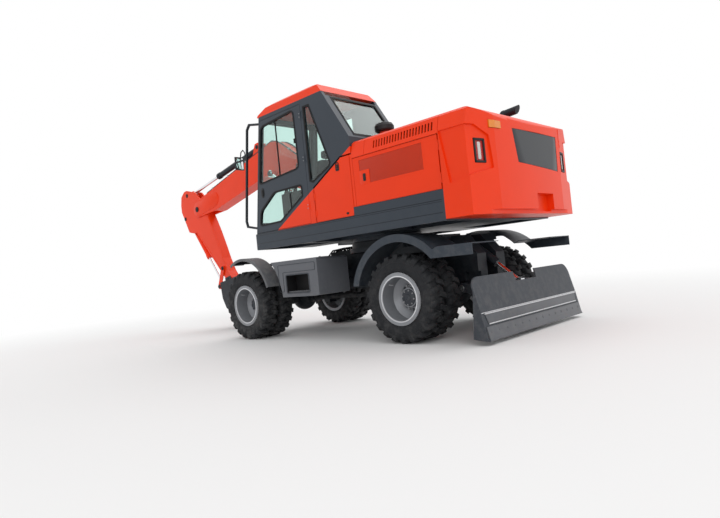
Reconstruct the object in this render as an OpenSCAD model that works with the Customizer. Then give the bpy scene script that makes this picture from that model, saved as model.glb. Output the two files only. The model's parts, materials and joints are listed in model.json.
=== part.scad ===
// Wheeled excavator with twin tyres, a dozer blade and a two-piece digging arm.
// Millimetres. X runs forward, Y to the left, Z up from the ground.
// Every sub-part is drawn with X measured from the rear axle, then moved as one.

/* [Running gear] */
// Distance between the two axles
wheelbase = 2900; // [2700:10:3100]
// Outer diameter of a tyre over its lugs
tyre_d = 980; // [960:2:1000]
// Width of one tyre
tyre_w = 240; // [230:2:250]
// Gap between the two tyres of a twin wheel
twin_gap = 40; // [30:1:60]
// Width over the outer tyre walls
track_w = 2240; // [2200:10:2300]
// Number of lugs on each shoulder of a tyre
lug_n = 18; // [12:1:20]
// Depth of the gaps between the lugs
lug_h = 24; // [16:1:30]
// Diameter of the rim under the bead of the tyre
rim_d = 508; // [500:1:516]
// Radius of an axle spindle
spindle_r = 60; // [50:1:65]
// Distance of the steering pivot from the middle plane
kingpin_y = 620; // [610:1:630]
// Radius of a front mudguard inside
front_guard_r = 592; // [570:1:620]
// Height of a front mudguard's middle above the axle
guard_lift = 80; // [60:1:100]
// Radius of a rear mudguard outside
rear_guard_r = 705; // [690:1:720]

/* [Undercarriage] */
// Underside of the chassis frame above the ground
frame_z = 600; // [590:1:620]
// Half width of the chassis frame
frame_hw = 300; // [280:1:320]
// Top of the chassis frame under the slewing ring
frame_top_z = 1130; // [1110:1:1150]
// Place of the slewing axis ahead of the rear axle
swing_x = 1050; // [1000:5:1100]
// Outer radius of the fixed slewing race
race_r = 480; // [460:1:500]
// Top of the side boxes above the ground
side_box_z = 1060; // [1020:5:1080]
// Half width of the dozer blade
blade_hw = 1085; // [1000:5:1090]
// Thickness of the dozer blade plate
blade_t = 16; // [10:1:24]

/* [Upper structure] */
// Width of the upper structure
body_w = 2240; // [2200:10:2260]
// Underside of the revolving platform
deck_low_z = 1255; // [1250:1:1265]
// Top of the revolving platform
deck_z = 1475; // [1460:1:1490]
// Front edge of the platform ahead of the rear axle
deck_front_x = 2470; // [2450:5:2500]
// Joint between the platform and the counterweight
weight_x = -730; // [-760:5:-700]
// Rearmost point of the counterweight
tail_x = -1150; // [-1180:5:-1120]
// Height of the engine hood
hood_z = 2330; // [2310:5:2350]
// Front edge of the engine hood
hood_front_x = 500; // [490:1:505]

/* [Cab] */
// Inner wall of the cab, on the boom side
cab_in_y = 115; // [110:1:140]
// Outer wall of the cab, on the door side
cab_out_y = 1105; // [1090:1:1115]
// Thickness of the cab's walls
cab_wall = 45; // [40:1:50]
// Top of the cab's frame under the roof
cab_top_z = 3040; // [3020:5:3060]
// Height of the roof at its crown
roof_z = 3185; // [3165:5:3205]
// Thickness of the window glass
glass_t = 6; // [4:1:8]

/* [Digging gear] */
// Middle plane of the boom, right of the machine's middle
boom_y = -170; // [-180:1:-165]
// Width of the boom
boom_w = 250; // [220:2:256]
// Depth of the boom
boom_depth = 415; // [380:5:430]
// Radius of the boom's foot pin
foot_pin_r = 40; // [30:1:45]
// Width of the arm
arm_w = 180; // [160:2:184]
// Width of the bucket
bucket_w = 750; // [650:10:800]
// Outer radius of a boom cylinder
boom_cyl_r = 56; // [50:1:58]
// Radius of a boom cylinder's rod
boom_rod_r = 32; // [25:1:35]
// Outer radius of the arm and bucket cylinders
arm_cyl_r = 52; // [45:1:56]
// Radius of the arm and bucket cylinders' rods
arm_rod_r = 30; // [24:1:34]

/* [Hidden] */

// Colours
paint = "orangered";
slate = [0.30, 0.34, 0.38];
dark = [0.12, 0.12, 0.13];
grey = [0.42, 0.43, 0.45];
steel = [0.75, 0.76, 0.78];

// Fits
run_fit = 0.05;
seat_gap = 0.3;
clear = 5;

// The whole machine's middle lies this far ahead of the rear axle
middle_x = 2745.397;
wheel_r = tyre_d / 2;
rim_r = rim_d / 2;
flange_r = rim_r + 36;
outer_tyre_y = track_w / 2 - tyre_w / 2;
inner_tyre_y = outer_tyre_y - tyre_w - twin_gap;
twin_y = (outer_tyre_y + inner_tyre_y) / 2;
hub_in_y = twin_y - 75;
hub_out_y = twin_y + 80;
spindle_end_y = twin_y + 55;
body_hw = body_w / 2;
panel_t = 28;

module placed() {
    translate([-middle_x, 0, 0]) children();
}

// A side outline, drawn as X and Z, made solid from y0 to y1
module side_plate(y0, y1) {
    translate([0, y1, 0]) rotate([90, 0, 0]) linear_extrude(y1 - y0) children();
}

// A cross outline, drawn as Y and Z, made solid from x0 to x1
module cross_plate(x0, x1) {
    translate([x0, 0, 0]) rotate([90, 0, 90]) linear_extrude(x1 - x0) children();
}

module block(low, high) {
    translate(low) cube(high - low);
}

// A round bar from p to q
module bar(p, q, r, sides = 32) {
    d = q - p;
    l = norm(d);
    translate(p) rotate([0, acos(d[2] / l), atan2(d[1], d[0])]) cylinder(h = l, r = r, $fn = sides);
}

// A round boss along Y
module boss(x, z, r, y0, y1) {
    translate([x, y1, z]) rotate([90, 0, 0]) cylinder(h = y1 - y0, r = r, $fn = 48);
}

// Hinge halves about a local Z axis; the moving half reaches to +X, the fixed one to -X
knuckle_r = 4.5;
hinge_pin_r = 2.5;
hinge_l = 70;
hinge_off = 5;

module hinge_moving() {
    l = hinge_l / 2;
    difference() {
        union() {
            translate([0, 0, -l]) cylinder(h = hinge_l, r = knuckle_r, $fn = 24);
            block([2, -hinge_off - 0.5, -l], [26, -1, l]);
        }
        translate([0, 0, -l - 1]) cylinder(h = hinge_l + 2, r = hinge_pin_r + run_fit, $fn = 24);
    }
}

module hinge_fixed() {
    l = hinge_l / 2 + 1;
    translate([0, 0, -l - 14]) cylinder(h = 2 * l + 28, r = hinge_pin_r, $fn = 24);
    for (z = [-l - 15, l]) {
        translate([0, 0, z]) cylinder(h = 15, r = knuckle_r, $fn = 24);
        block([-26, -hinge_off - 0.5, z], [0, -1, z + 15]);
    }
}

module both_sides() {
    children();
    mirror([0, 1, 0]) children();
}

// A point at a distance and angle from another, in X and Z
function polar(p, r, a) = p + r * [cos(a), sin(a)];

// Points of an arc in the side plane
function arc(c, r, a0, a1, n) = [for (i = [0:n]) polar(c, r, a0 + (a1 - a0) * i / n)];

/* Wheels */

module tyre_ring() {
    h = tyre_w / 2;
    r = wheel_r;
    rotate([-90, 0, 0]) rotate_extrude($fn = 72) polygon([
        [rim_r + seat_gap, -h + 20], [flange_r + 2, -h + 20], [flange_r + 12, -h + 8],
        [r - 110, -h], [r - 35, -h + 8], [r - 8, -h + 32], [r, -h + 60],
        [r, h - 60], [r - 8, h - 32], [r - 35, h - 8], [r - 110, h],
        [flange_r + 12, h - 8], [flange_r + 2, h - 20], [rim_r + seat_gap, h - 20]]);
}

// Gaps that leave the lugs standing on one shoulder
module lug_gaps(y0, y1) {
    step = 360 / lug_n;
    for (i = [0:lug_n - 1])
        rotate([0, i * step, 0]) block([wheel_r - lug_h, y0, -20], [wheel_r + 10, y1, 20]);
}

module lugged_tyre() {
    h = tyre_w / 2;
    difference() {
        tyre_ring();
        lug_gaps(h - 74, h + 1);
        rotate([0, 180 / lug_n, 0]) lug_gaps(-h - 1, -h + 74);
    }
}

module twin_tyres(x) {
    for (y = [outer_tyre_y, inner_tyre_y])
        translate([x, y, wheel_r]) lugged_tyre();
}

// Half of a twin rim, with its disc on the twin's middle plane
module half_rim() {
    g = twin_gap / 2;
    w = tyre_w;
    rotate([-90, 0, 0]) rotate_extrude($fn = 72) polygon([
        [spindle_r + run_fit, 0], [spindle_r + run_fit, 12], [165, 12], [rim_r - 14, 60],
        [rim_r - 12, g + w - 20], [rim_r - 4, g + w - 8], [flange_r, g + w - 8],
        [flange_r, g + w - 20 + seat_gap], [rim_r, g + w - 20 + seat_gap],
        [rim_r, g + 20 - seat_gap], [flange_r, g + 20 - seat_gap],
        [flange_r, g + 8], [rim_r - 4, g + 8], [150, 0]]);
}

module twin_rims(x) {
    hand_holes = 8;
    translate([x, twin_y, wheel_r]) difference() {
        union() {
            half_rim();
            mirror([0, 1, 0]) half_rim();
            rotate([-90, 0, 0]) translate([0, 0, hub_in_y - twin_y])
                cylinder(h = hub_out_y - hub_in_y, r = 108, $fn = 48);
        }
        rotate([-90, 0, 0]) translate([0, 0, hub_in_y - twin_y - 1])
            cylinder(h = spindle_end_y + 3 - hub_in_y + 1, r = spindle_r + run_fit, $fn = 64);
        for (i = [0:hand_holes - 1])
            rotate([0, i * 360 / hand_holes, 0]) translate([0, 100, 140])
                rotate([90, 0, 0]) cylinder(h = 200, r = 18, $fn = 24);
    }
}

module front_tyres_left() { placed() color(dark) twin_tyres(wheelbase); }
module front_rims_left() { placed() color(steel) twin_rims(wheelbase); }
module front_tyres_right() { placed() color(dark) mirror([0, 1, 0]) twin_tyres(wheelbase); }
module front_rims_right() { placed() color(steel) mirror([0, 1, 0]) twin_rims(wheelbase); }
module rear_tyres_left() { placed() color(dark) twin_tyres(0); }
module rear_rims_left() { placed() color(steel) twin_rims(0); }
module rear_tyres_right() { placed() color(dark) mirror([0, 1, 0]) twin_tyres(0); }
module rear_rims_right() { placed() color(steel) mirror([0, 1, 0]) twin_rims(0); }

/* Axles */

axle_tube_r = 75;
diff_r = 185;
nose_l = 270;
flange_y = 700;
pad_y = 230;

module spindle(y0) {
    bar([0, y0, 0], [0, flange_y + 30, 0], 115);
    bar([0, flange_y, 0], [0, spindle_end_y, 0], spindle_r);
}

module axle_pads() {
    both_sides() block([-90, pad_y - 60, 40], [90, pad_y + 60, frame_z - wheel_r]);
}

// Differential housing with its pinion nose towards the gearbox
module differential(nose) {
    sphere(r = diff_r, $fn = 64);
    bar([0, 0, 0], [nose, 0, 0], 70);
}

module rear_axle() {
    placed() color(dark) translate([0, 0, wheel_r]) difference() {
        union() {
            bar([0, -flange_y - 10, 0], [0, flange_y + 10, 0], axle_tube_r);
            differential(nose_l);
            axle_pads();
            both_sides() spindle(flange_y - 40);
        }
        block([-400, -400, frame_z - wheel_r], [400, 400, 400]);
    }
}

ear_in = 95;
ear_out = 130;
ear_r = 48;
kingpin_r = 28;

module yoke() {
    difference() {
        union() {
            block([-65, 470, -ear_out], [65, 520, ear_out]);
            for (z = [ear_in, -ear_out]) {
                translate([0, kingpin_y, z]) cylinder(h = ear_out - ear_in, r = ear_r, $fn = 48);
                block([-ear_r, 510, z], [ear_r, kingpin_y, z + ear_out - ear_in]);
            }
        }
        translate([0, kingpin_y, -ear_out - 1])
            cylinder(h = 2 * ear_out + 2, r = kingpin_r + run_fit, $fn = 48);
    }
}

module front_axle() {
    placed() color(dark) translate([wheelbase, 0, wheel_r]) difference() {
        union() {
            bar([0, -500, 0], [0, 500, 0], axle_tube_r);
            differential(-nose_l);
            axle_pads();
            both_sides() yoke();
            bar([150, -330, -30], [150, 330, -30], 38);
            both_sides() block([60, 230, -60], [170, 260, 20]);
        }
        block([-400, -400, frame_z - wheel_r], [400, 400, 400]);
    }
}

post_r = 18;
guard_rail_r = front_guard_r - post_r;
post_y = kingpin_y - 53;

// Steering knuckle with its spindle and the bars that hold the mudguard
module knuckle() {
    bar([0, kingpin_y, -ear_out], [0, kingpin_y, ear_out], kingpin_r);
    bar([0, kingpin_y, -ear_in + 1], [0, kingpin_y, ear_in - 1], 58);
    block([-50, kingpin_y, -80], [50, flange_y + 5, 80]);
    block([-110, post_y, -60], [110, kingpin_y + 20, 60]);
    difference() {
        spindle(flange_y);
        block([-200, 500, -200], [200, flange_y, 200]);
    }
    // Foot and angle of each bar
    for (b = [[-95, 125], [95, 70]]) {
        top = polar([0, guard_lift], guard_rail_r, b[1]);
        side_plate(post_y, post_y + 20) link_outline([b[0], 0], top, 24);
        boss(top[0], top[1], post_r, post_y + 2, track_w / 2 - 20);
    }
}

module knuckle_left() { placed() color(dark) translate([wheelbase, 0, wheel_r]) knuckle(); }
module knuckle_right() {
    placed() color(dark) translate([wheelbase, 0, wheel_r]) mirror([0, 1, 0]) knuckle();
}

guard_t = 8;

// Rolled plate over the outer tyre, from low at the back to past the top
module front_guard() {
    y0 = outer_tyre_y - tyre_w / 2;
    y1 = track_w / 2 - 5;
    r = front_guard_r + seat_gap;
    side_plate(y0, y1) intersection() {
        difference() {
            circle(r = r + guard_t, $fn = 96);
            circle(r = r, $fn = 96);
        }
        polygon([[0, 0], polar([0, 0], 900, 60), polar([0, 0], 1000, 90),
            polar([0, 0], 1000, 130), polar([0, 0], 900, 164)]);
    }
    side_plate(y1 - 6, y1) intersection() {
        difference() {
            circle(r = r + guard_t, $fn = 96);
            circle(r = r - 30, $fn = 96);
        }
        polygon([[0, 0], polar([0, 0], 900, 60), polar([0, 0], 1000, 90),
            polar([0, 0], 1000, 130), polar([0, 0], 900, 164)]);
    }
}

module front_guard_left() {
    placed() color(grey) translate([wheelbase, 0, wheel_r + guard_lift]) front_guard();
}
module front_guard_right() {
    placed() color(grey) translate([wheelbase, 0, wheel_r + guard_lift]) mirror([0, 1, 0]) front_guard();
}

/* Chassis */

box_front_r = 880;
box_back_x = 1290;
box_low_z = 580;
box_in_y = 560;
box_out_y = track_w / 2 - 20;
foot_pin_z = 1085;
foot_pin_x = -215;
blade_pin = [-300, 520];
blade_pin_r = 30;
tow_eye = [3330, 0, 750];
tow_t = 40;

// Height of a rear mudguard's inner face over the axle
function guard_in_z(x) = wheel_r + sqrt(pow(rear_guard_r - guard_t, 2) - x * x);

module chassis_frame() {
    placed() color(dark) difference() {
        union() {
            // Main box between the axles, raised under the slewing ring
            side_plate(-frame_hw, frame_hw) polygon([
                [-520, frame_z], [3200, frame_z], [3290, 680], [3290, 820], [3200, 880],
                [2350, 880], [swing_x + race_r + 150, frame_top_z],
                [swing_x - race_r - 120, frame_top_z], [-330, frame_top_z], [-520, 900]]);
            // Wider deck under the ring
            translate([swing_x, 0, frame_top_z - 60]) cylinder(h = 60, r = race_r + 40, $fn = 96);
            translate([swing_x, 0, frame_top_z]) cylinder(h = 70, r = race_r, $fn = 96);
            // Beams that carry the side boxes and the rear mudguards
            for (x = [1450, 1850])
                block([x, -box_in_y, 760], [x + 80, box_in_y, 880]);
            for (x = [-200, 140])
                block([x, -700, 1060], [x + 60, 700, guard_in_z(max(abs(x), abs(x + 60))) - seat_gap]);
            // Lugs of the blade's arms
            both_sides() side_plate(190, 250) polygon([
                [-470, frame_z + 10], [-150, frame_z + 10], [-220, 470], [-380, 470]]);
            // Towing eye at the front
            translate([tow_eye[0], tow_eye[1], tow_eye[2] - tow_t / 2])
                cylinder(h = tow_t, r = 45, $fn = 48);
            block([3270, -45, tow_eye[2] - tow_t / 2], [tow_eye[0], 45, tow_eye[2] + tow_t / 2]);
        }
        // Bore of the race
        translate([swing_x, 0, frame_top_z - 20]) cylinder(h = 100, r = 360, $fn = 96);
        // Slot for the blade's cylinder
        block([-700, -110, 500], [-130, 110, 1300]);
        // Room for the blade's arms as they lift
        both_sides() block([-560, 252, 560], [-335, frame_hw + 10, 700]);
        // Bores for the towing pin and the blade's pins
        translate([tow_eye[0], tow_eye[1], tow_eye[2] - tow_t]) cylinder(h = 2 * tow_t, r = 22, $fn = 48);
        both_sides() boss(blade_pin[0], blade_pin[1], blade_pin_r + run_fit, 180, 260);
    }
    placed() color(dark) boss(foot_pin_x, foot_pin_z, 25, -110, 110);
}

module box_outline() {
    difference() {
        polygon([[box_back_x, box_low_z + 10], [box_back_x, side_box_z - 25],
            [box_back_x + 20, side_box_z], [wheelbase, side_box_z], [wheelbase, box_low_z],
            [box_back_x + 90, box_low_z]]);
        translate([wheelbase, wheel_r]) circle(r = box_front_r, $fn = 120);
    }
}

module side_boxes() {
    placed() color(grey) both_sides() difference() {
        side_plate(box_in_y, box_out_y) box_outline();
        // Step recess in the outer face
        block([1470, box_out_y - 170, 635], [1920, box_out_y + 10, 865]);
    }
}

guard_tail_x = -980;

// Outline of a rear mudguard, drawn inwards by the given amount
module rear_guard_outline(inset) {
    c = [0, wheel_r];
    r = rear_guard_r - inset;
    intersection() {
        union() {
            translate(c) circle(r = r, $fn = 120);
            polygon([[guard_tail_x, 1010 - inset], [-560, 1010 - inset], [-300, 900], [-300, 700],
                [guard_tail_x, 700]]);
        }
        translate([-1500, 500]) square([3000, 1000]);
    }
}

module rear_guards() {
    placed() color(grey) both_sides() {
        difference() {
            side_plate(600, box_out_y) difference() {
                rear_guard_outline(0);
                rear_guard_outline(guard_t);
                translate([-1500, 0]) square([3000, 660]);
                translate([-1500, 0]) square([940, 895]);
            }
            block([-1500, 500, 0], [-1495, 1200, 2000]);
        }
        side_plate(box_out_y - 8, box_out_y) difference() {
            rear_guard_outline(0);
            translate([0, wheel_r]) circle(r = 620, $fn = 120);
            translate([-1500, 0]) square([3000, 660]);
            translate([-1500, 0]) square([1200, 895]);
        }
    }
}

module gearbox_and_shafts() {
    placed() color(dark) {
        block([960, -190, 400], [1380, 190, frame_z]);
        bar([nose_l + seat_gap, 0, wheel_r], [970, 0, wheel_r], 38);
        bar([1370, 0, wheel_r], [wheelbase - nose_l - seat_gap, 0, wheel_r], 38);
    }
}

/* Dozer blade */

blade_top = [-930, 565];
blade_fold1 = [-993, 314];
blade_fold2 = [-1040, 80];
blade_edge = [-1055, 42];
blade_end_top = blade_top + [24, 103];
blade_mid_hw = 220;
blade_eye = [-850, 545];
eye_r = 48;

module blade() {
    t = blade_t;
    placed() color(grey) difference() {
        union() {
            side_plate(-blade_hw, blade_hw) polygon([
                blade_top, blade_fold1, blade_fold2, blade_edge,
                blade_edge + [t, 8], blade_fold2 + [t, 0], blade_fold1 + [t, 0],
                blade_top + [t, 0]]);
            // Raised ends with a rounded outer corner, and the wings that close the plate
            both_sides() intersection() {
                side_plate(blade_mid_hw, blade_hw) polygon([
                    blade_top - [5, 20], blade_top, blade_end_top, blade_end_top + [t, 0],
                    blade_top + [t, 0], blade_top + [t - 5, -20]]);
                cross_plate(-1000, -800) polygon(concat(
                    [[blade_hw, 500], [blade_mid_hw, 500], [blade_mid_hw + 25, blade_end_top[1]]],
                    arc([blade_hw - 120, blade_end_top[1] - 120], 120, 90, 0, 10)));
            }
            both_sides() side_plate(blade_hw - 15, blade_hw) polygon([
                [-928, 560], [-881, 60], blade_fold2 + [4, -38], blade_fold2 + [4, 0],
                blade_fold1 + [4, 0]]);
            // Ribs and arms behind the plate
            both_sides() {
                side_plate(258, 340) polygon([
                    [-260, 475], [-345, 475], [-900, 180], [-1000, 220], [-940, 480], [-918, 555],
                    [-345, 565], [-260, 565]]);
                side_plate(190, 258) polygon([
                    [-900, 300], [-995, 260], [-940, 480], [-900, 520]]);
                side_plate(700, 720) polygon([
                    [-860, 300], [-992, 270], [-940, 480], [-915, 600]]);
            }
            both_sides() boss(blade_pin[0], blade_pin[1], 55, 258, 345);
            both_sides() boss(blade_pin[0], blade_pin[1], blade_pin_r, 185, 300);
            // Ears for the cylinder's rod
            for (y = [-75, 55])
                side_plate(y, y + 20) polygon([
                    blade_eye + [60, 45], blade_eye + [60, -55], [-964, 380], [-932, 510]]);
            block([-970, -260, 330], [-900, 260, 400]);
        }
        block([-1300, -1200, -50], [0, 1200, 40]);
    }
}

function dir(p, q) = (q - p) / norm(q - p);

// A barrel along Y-plane from its foot pin towards the rod's eye
module barrel(foot, eye, y, r, rod, length, foot_bore, hw) {
    d = dir(foot, eye);
    difference() {
        union() {
            boss(foot[0], foot[1], r, y - hw, y + hw);
            bar([foot[0] + d[0] * 20, y, foot[1] + d[1] * 20],
                [foot[0] + d[0] * length, y, foot[1] + d[1] * length], r, 48);
            bar([foot[0] + d[0] * (length - 60), y, foot[1] + d[1] * (length - 60)],
                [foot[0] + d[0] * (length + 12), y, foot[1] + d[1] * (length + 12)], r + 7, 48);
        }
        boss(foot[0], foot[1], foot_bore + run_fit, y - max(hw, r) - 1, y + max(hw, r) + 1);
        bar([foot[0] + d[0] * (r + 12), y, foot[1] + d[1] * (r + 12)],
            [foot[0] + d[0] * (length + 40), y, foot[1] + d[1] * (length + 40)],
            rod + run_fit, 48);
    }
}

// A rod with its eye, reaching back into the barrel
module rod(foot, eye, y, rod_r, inside, eye_radius, hw) {
    d = dir(eye, foot);
    bar([eye[0], y, eye[1]], [eye[0] + d[0] * inside, y, eye[1] + d[1] * inside], rod_r, 48);
    boss(eye[0], eye[1], eye_radius, y - hw, y + hw);
}

blade_foot = [foot_pin_x, foot_pin_z];

module blade_barrel() {
    placed() color(dark) barrel(blade_foot, blade_eye, 0, 45, 25, 480, 25, 45);
}
module blade_rod() { placed() color(steel) rod(blade_foot, blade_eye, 0, 25, 460, 42, 40); }

/* Revolving platform */

boom_foot = [1750, 1860];
cyl_foot = [2006, 1335];
cyl_y = 190;
slot_hw = 262;
slot_x = 1925;

module platform() {
    placed() color(slate) difference() {
        union() {
            difference() {
                block([weight_x, -body_hw, deck_low_z], [deck_front_x, body_hw, deck_z]);
                // Pockets under the deck, left and right of the main frame
                both_sides() for (x = [weight_x + 60, 560, 1580])
                    block([x, 520, deck_low_z - 1], [x + 850, body_hw - 45, deck_z - 30]);
            }
            // Sill strip under the engine doors
            both_sides() block([weight_x, body_hw - 40, deck_z - 5],
                [hood_front_x + 5, body_hw, deck_z + 95]);
            block([hood_front_x, body_hw - 40, deck_z - 5], [hood_front_x + 30, body_hw, deck_z + 95]);
            // Foot plates of the boom
            for (y = [-boom_w / 2 - 45, boom_w / 2 + clear])
                side_plate(boom_y + y, boom_y + y + 40) polygon([
                    [1350, deck_z - 10], [1930, deck_z - 10], [1860, 1830], [1830, 1930],
                    [1790, 1960], [1710, 1960], [1665, 1925]]);
            boss(boom_foot[0], boom_foot[1], foot_pin_r, boom_y - boom_w / 2 - 60,
                boom_y + boom_w / 2 + 60);
            // Ring that turns in the race
            translate([swing_x, 0, deck_low_z - 45]) cylinder(h = 50, r = race_r - 15, $fn = 96);
            translate([swing_x, 0, frame_top_z]) cylinder(h = 130, r = 360 - run_fit, $fn = 96);
        }
        // Open front under the boom
        block([slot_x, boom_y - slot_hw, deck_low_z - 10], [deck_front_x + 10, boom_y + slot_hw, 1600]);
    }
    placed() color(slate) {
        block([slot_x - 5, boom_y - 120, deck_low_z], [cyl_foot[0] + 60, boom_y + 120, 1400]);
        boss(cyl_foot[0], cyl_foot[1], 35, boom_y - cyl_y - 52, boom_y + cyl_y + 52);
    }
}

weight_corner = [tail_x + 100, body_hw];
weight_turn = [tail_x + 21, 710];
tail_r = 12000;

// Plan of the counterweight: chamfered corners and a shallow arc across the tail
module weight_plan() {
    intersection() {
        translate([tail_x + tail_r, 0]) circle(r = tail_r, $fn = 360);
        union() for (s = [-1, 1])
            polygon([[weight_x, 0], [weight_x, s * weight_corner[1]],
                [weight_corner[0], s * weight_corner[1]],
                [weight_turn[0], s * weight_turn[1]], [tail_x - 10, s * 450], [tail_x - 10, 0]]);
    }
}

// What lies between two depths under the chamfered corner, inside a cross outline
module corner_layer(depth0, depth1) {
    u = dir(weight_turn, weight_corner);
    n = [u[1], -u[0]];
    intersection() {
        translate([0, 0, deck_low_z]) linear_extrude(1200) polygon([
            weight_turn + depth0 * n, weight_corner + 40 * u + depth0 * n,
            weight_corner + 40 * u + depth1 * n, weight_turn + depth1 * n]);
        cross_plate(tail_x - 30, weight_x) children();
    }
}

// What lies above a depth under the tail's arc, inside a cross outline
module tail_layer(depth) {
    intersection() {
        translate([0, 0, deck_low_z]) linear_extrude(1200) difference() {
            translate([tail_x - 20, -body_hw]) square([300, body_w]);
            translate([tail_x + tail_r, 0]) circle(r = tail_r - depth, $fn = 360);
        }
        cross_plate(tail_x - 30, weight_x) children();
    }
}

lamp_y = [850, 1005];
lamp_z = [1775, 2020];
lamp_depth = 45;
facet_depth = 20;

module hood_section(inset) {
    polygon([[-body_hw + inset, deck_low_z], [-body_hw + inset, hood_z - 200],
        [-body_hw + 45 + inset, hood_z - 28], [-body_hw + 82 + inset, hood_z - inset],
        [body_hw - 82 - inset, hood_z - inset], [body_hw - 45 - inset, hood_z - 28],
        [body_hw - inset, hood_z - 200], [body_hw - inset, deck_low_z]]);
}

module counterweight() {
    top_r = 150;
    placed() color(paint) difference() {
        intersection() {
            translate([0, 0, deck_low_z + 15]) linear_extrude(1200) weight_plan();
            cross_plate(tail_x - 50, weight_x) hood_section(0);
            side_plate(-body_hw, body_hw) union() {
                translate([tail_x, deck_low_z + 60]) square([600, hood_z - deck_low_z - 60 - top_r]);
                translate([tail_x + 50, deck_low_z]) square([600, 600]);
                translate([tail_x + top_r, deck_low_z + 60]) square([600, hood_z - deck_low_z - 60]);
                translate([tail_x + top_r, hood_z - top_r]) circle(r = top_r, $fn = 64);
            }
        }
        // Sunk middle of the tail over a slanting ledge, with a bare panel's place
        tail_layer(15) polygon([[440, 1791], [-800, 1720], [-800, 2400], [440, 2400]]);
        tail_layer(23) polygon([[352, 2167], [-708, 2171], [-678, 1760], [282, 1810]]);
        // Lower recess of the recovery pin
        block([tail_x - 10, -429, 1292], [tail_x + 90, -32, 1490]);
        // Sunk facets around the corners with their lamp pockets
        both_sides() {
            corner_layer(-5, facet_depth) polygon([
                [body_hw + 10, 2150], [996, 2150], [800, 2055], [766, 1728], [body_hw + 10, 1650]]);
            side_plate(body_hw - facet_depth, body_hw + 1) polygon([
                [weight_x - 5, 2150], [tail_x + 80, 2150], [tail_x + 80, 1650], [-819, 1612]]);
            corner_layer(facet_depth - 5, lamp_depth)
                translate([lamp_y[0], lamp_z[0]]) square([lamp_y[1] - lamp_y[0], lamp_z[1] - lamp_z[0]]);
        }
        // Seat of the small marker lamp
        block([tail_x - 30, 597, 2127], [tail_x + 80, 793, 2208]);
    }
    placed() color(paint) both_sides() for (z = hood_hinge_z)
        translate([hood_hinge_x, door_hinge_y, z]) hinge_fixed();
}

module lamps() {
    placed() color("red") both_sides() corner_layer(facet_depth + 6, lamp_depth)
        translate([lamp_y[0] + 3, lamp_z[0] + 3])
            square([lamp_y[1] - lamp_y[0] - 6, lamp_z[1] - lamp_z[0] - 6]);
    placed() color("orange") translate([tail_x, 0, 2130]) linear_extrude(75) polygon([
        [8, 600], [12, 705], [27, 790], [80, 790], [80, 600]]);
}

module engine_block() {
    placed() color(dark) block([-560, -700, deck_z], [380, 700, 2120]);
}

module swing_gear() {
    placed() color(dark) {
        translate([1180, -60, deck_z]) cylinder(h = 330, r = 105, $fn = 48);
        block([700, -330, deck_z], [1020, 60, deck_z + 260]);
    }
}

/* Hood, doors and boxes */

door_low_z = deck_z + 100;
door_top_z = hood_z - 205;

door_out_y = body_hw - 10;
door_hinge_y = door_out_y + hinge_off;
hood_hinge_x = weight_x + 12;
hood_hinge_z = [door_low_z + 110, door_top_z - 110];

module hood_door() {
    difference() {
        block([hood_hinge_x + 10, door_out_y - panel_t, door_low_z],
            [hood_front_x - 15, door_out_y, door_top_z]);
        // Place of the perforated sheet
        block([-520, door_out_y - 6, 1800], [400, door_out_y + 1, 2095]);
    }
    for (z = hood_hinge_z)
        translate([hood_hinge_x, door_hinge_y, z]) hinge_moving();
}

module hood_door_left() { placed() color(paint) hood_door(); }
module hood_door_right() { placed() color(paint) mirror([0, 1, 0]) hood_door(); }

cover_front_x = 1186;
cover_hinge_x = 1196;
cover_hinge_z = [deck_z + 110, 1800];

module side_door_left() {
    placed() color(paint) {
        side_plate(door_out_y - panel_t, door_out_y) polygon([
            [cover_front_x, deck_z + clear], [cover_front_x, 1900], [690, 2170], [690, 2180],
            [hood_front_x + clear + 30, 2180], [hood_front_x + clear + 30, door_low_z],
            [hood_front_x + clear + 40, deck_z + clear]]);
        for (z = cover_hinge_z)
            translate([cover_hinge_x, door_hinge_y, z]) mirror([1, 0, 0]) hinge_moving();
    }
}

lid_front_x = 300;
lid_right_y = -500;
lid_hinge_x = [weight_x + 200, lid_front_x - 200];

// Shell of the hood's top, between two cross planes and from y0 to y1
module hood_shell(x0, x1, y0, y1) {
    intersection() {
        cross_plate(x0, x1) difference() {
            hood_section(0);
            hood_section(14);
            translate([-2000, 0]) square([4000, door_top_z + clear]);
        }
        block([x0 - 1, y0, 0], [x1 + 1, y1, 4000]);
    }
}

// Slots through the slanted edge of the hood
louvre_x = 158;
louvre_n = 21;
louvre_step = 40;

module louvres() {
    for (i = [0:louvre_n - 1])
        translate([louvre_x - i * louvre_step, 0, 0])
            block([-20, body_hw - 70, 2175], [0, body_hw + 5, 2262]);
}

module hood_cowl() {
    placed() color(paint) {
        hood_shell(lid_front_x, hood_front_x, -body_hw, body_hw);
        difference() {
            hood_shell(weight_x, lid_front_x + 1, -body_hw, lid_right_y);
            mirror([0, 1, 0]) louvres();
        }
        // Frame under the front edge, down to the platform
        block([hood_front_x - 40, -body_hw + 50, deck_z], [hood_front_x - 5, -body_hw + 90, 2290]);
        block([hood_front_x - 40, body_hw - 90, deck_z], [hood_front_x - 5, body_hw - 50, 2290]);
        block([hood_front_x - 40, -body_hw + 50, 2250], [hood_front_x - 5, body_hw - 50, 2290]);
        block([hood_front_x - 40, -700, 2250], [hood_front_x - 5, 700, hood_z - 14]);
        block([hood_front_x - 10, body_hw - 60, door_low_z], [hood_front_x + 27, body_hw - 10, 2180]);
        for (x = lid_hinge_x)
            translate([x, lid_right_y + 2.5, hood_z + hinge_off]) rotate([90, 0, 90]) hinge_fixed();
    }
}

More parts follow.
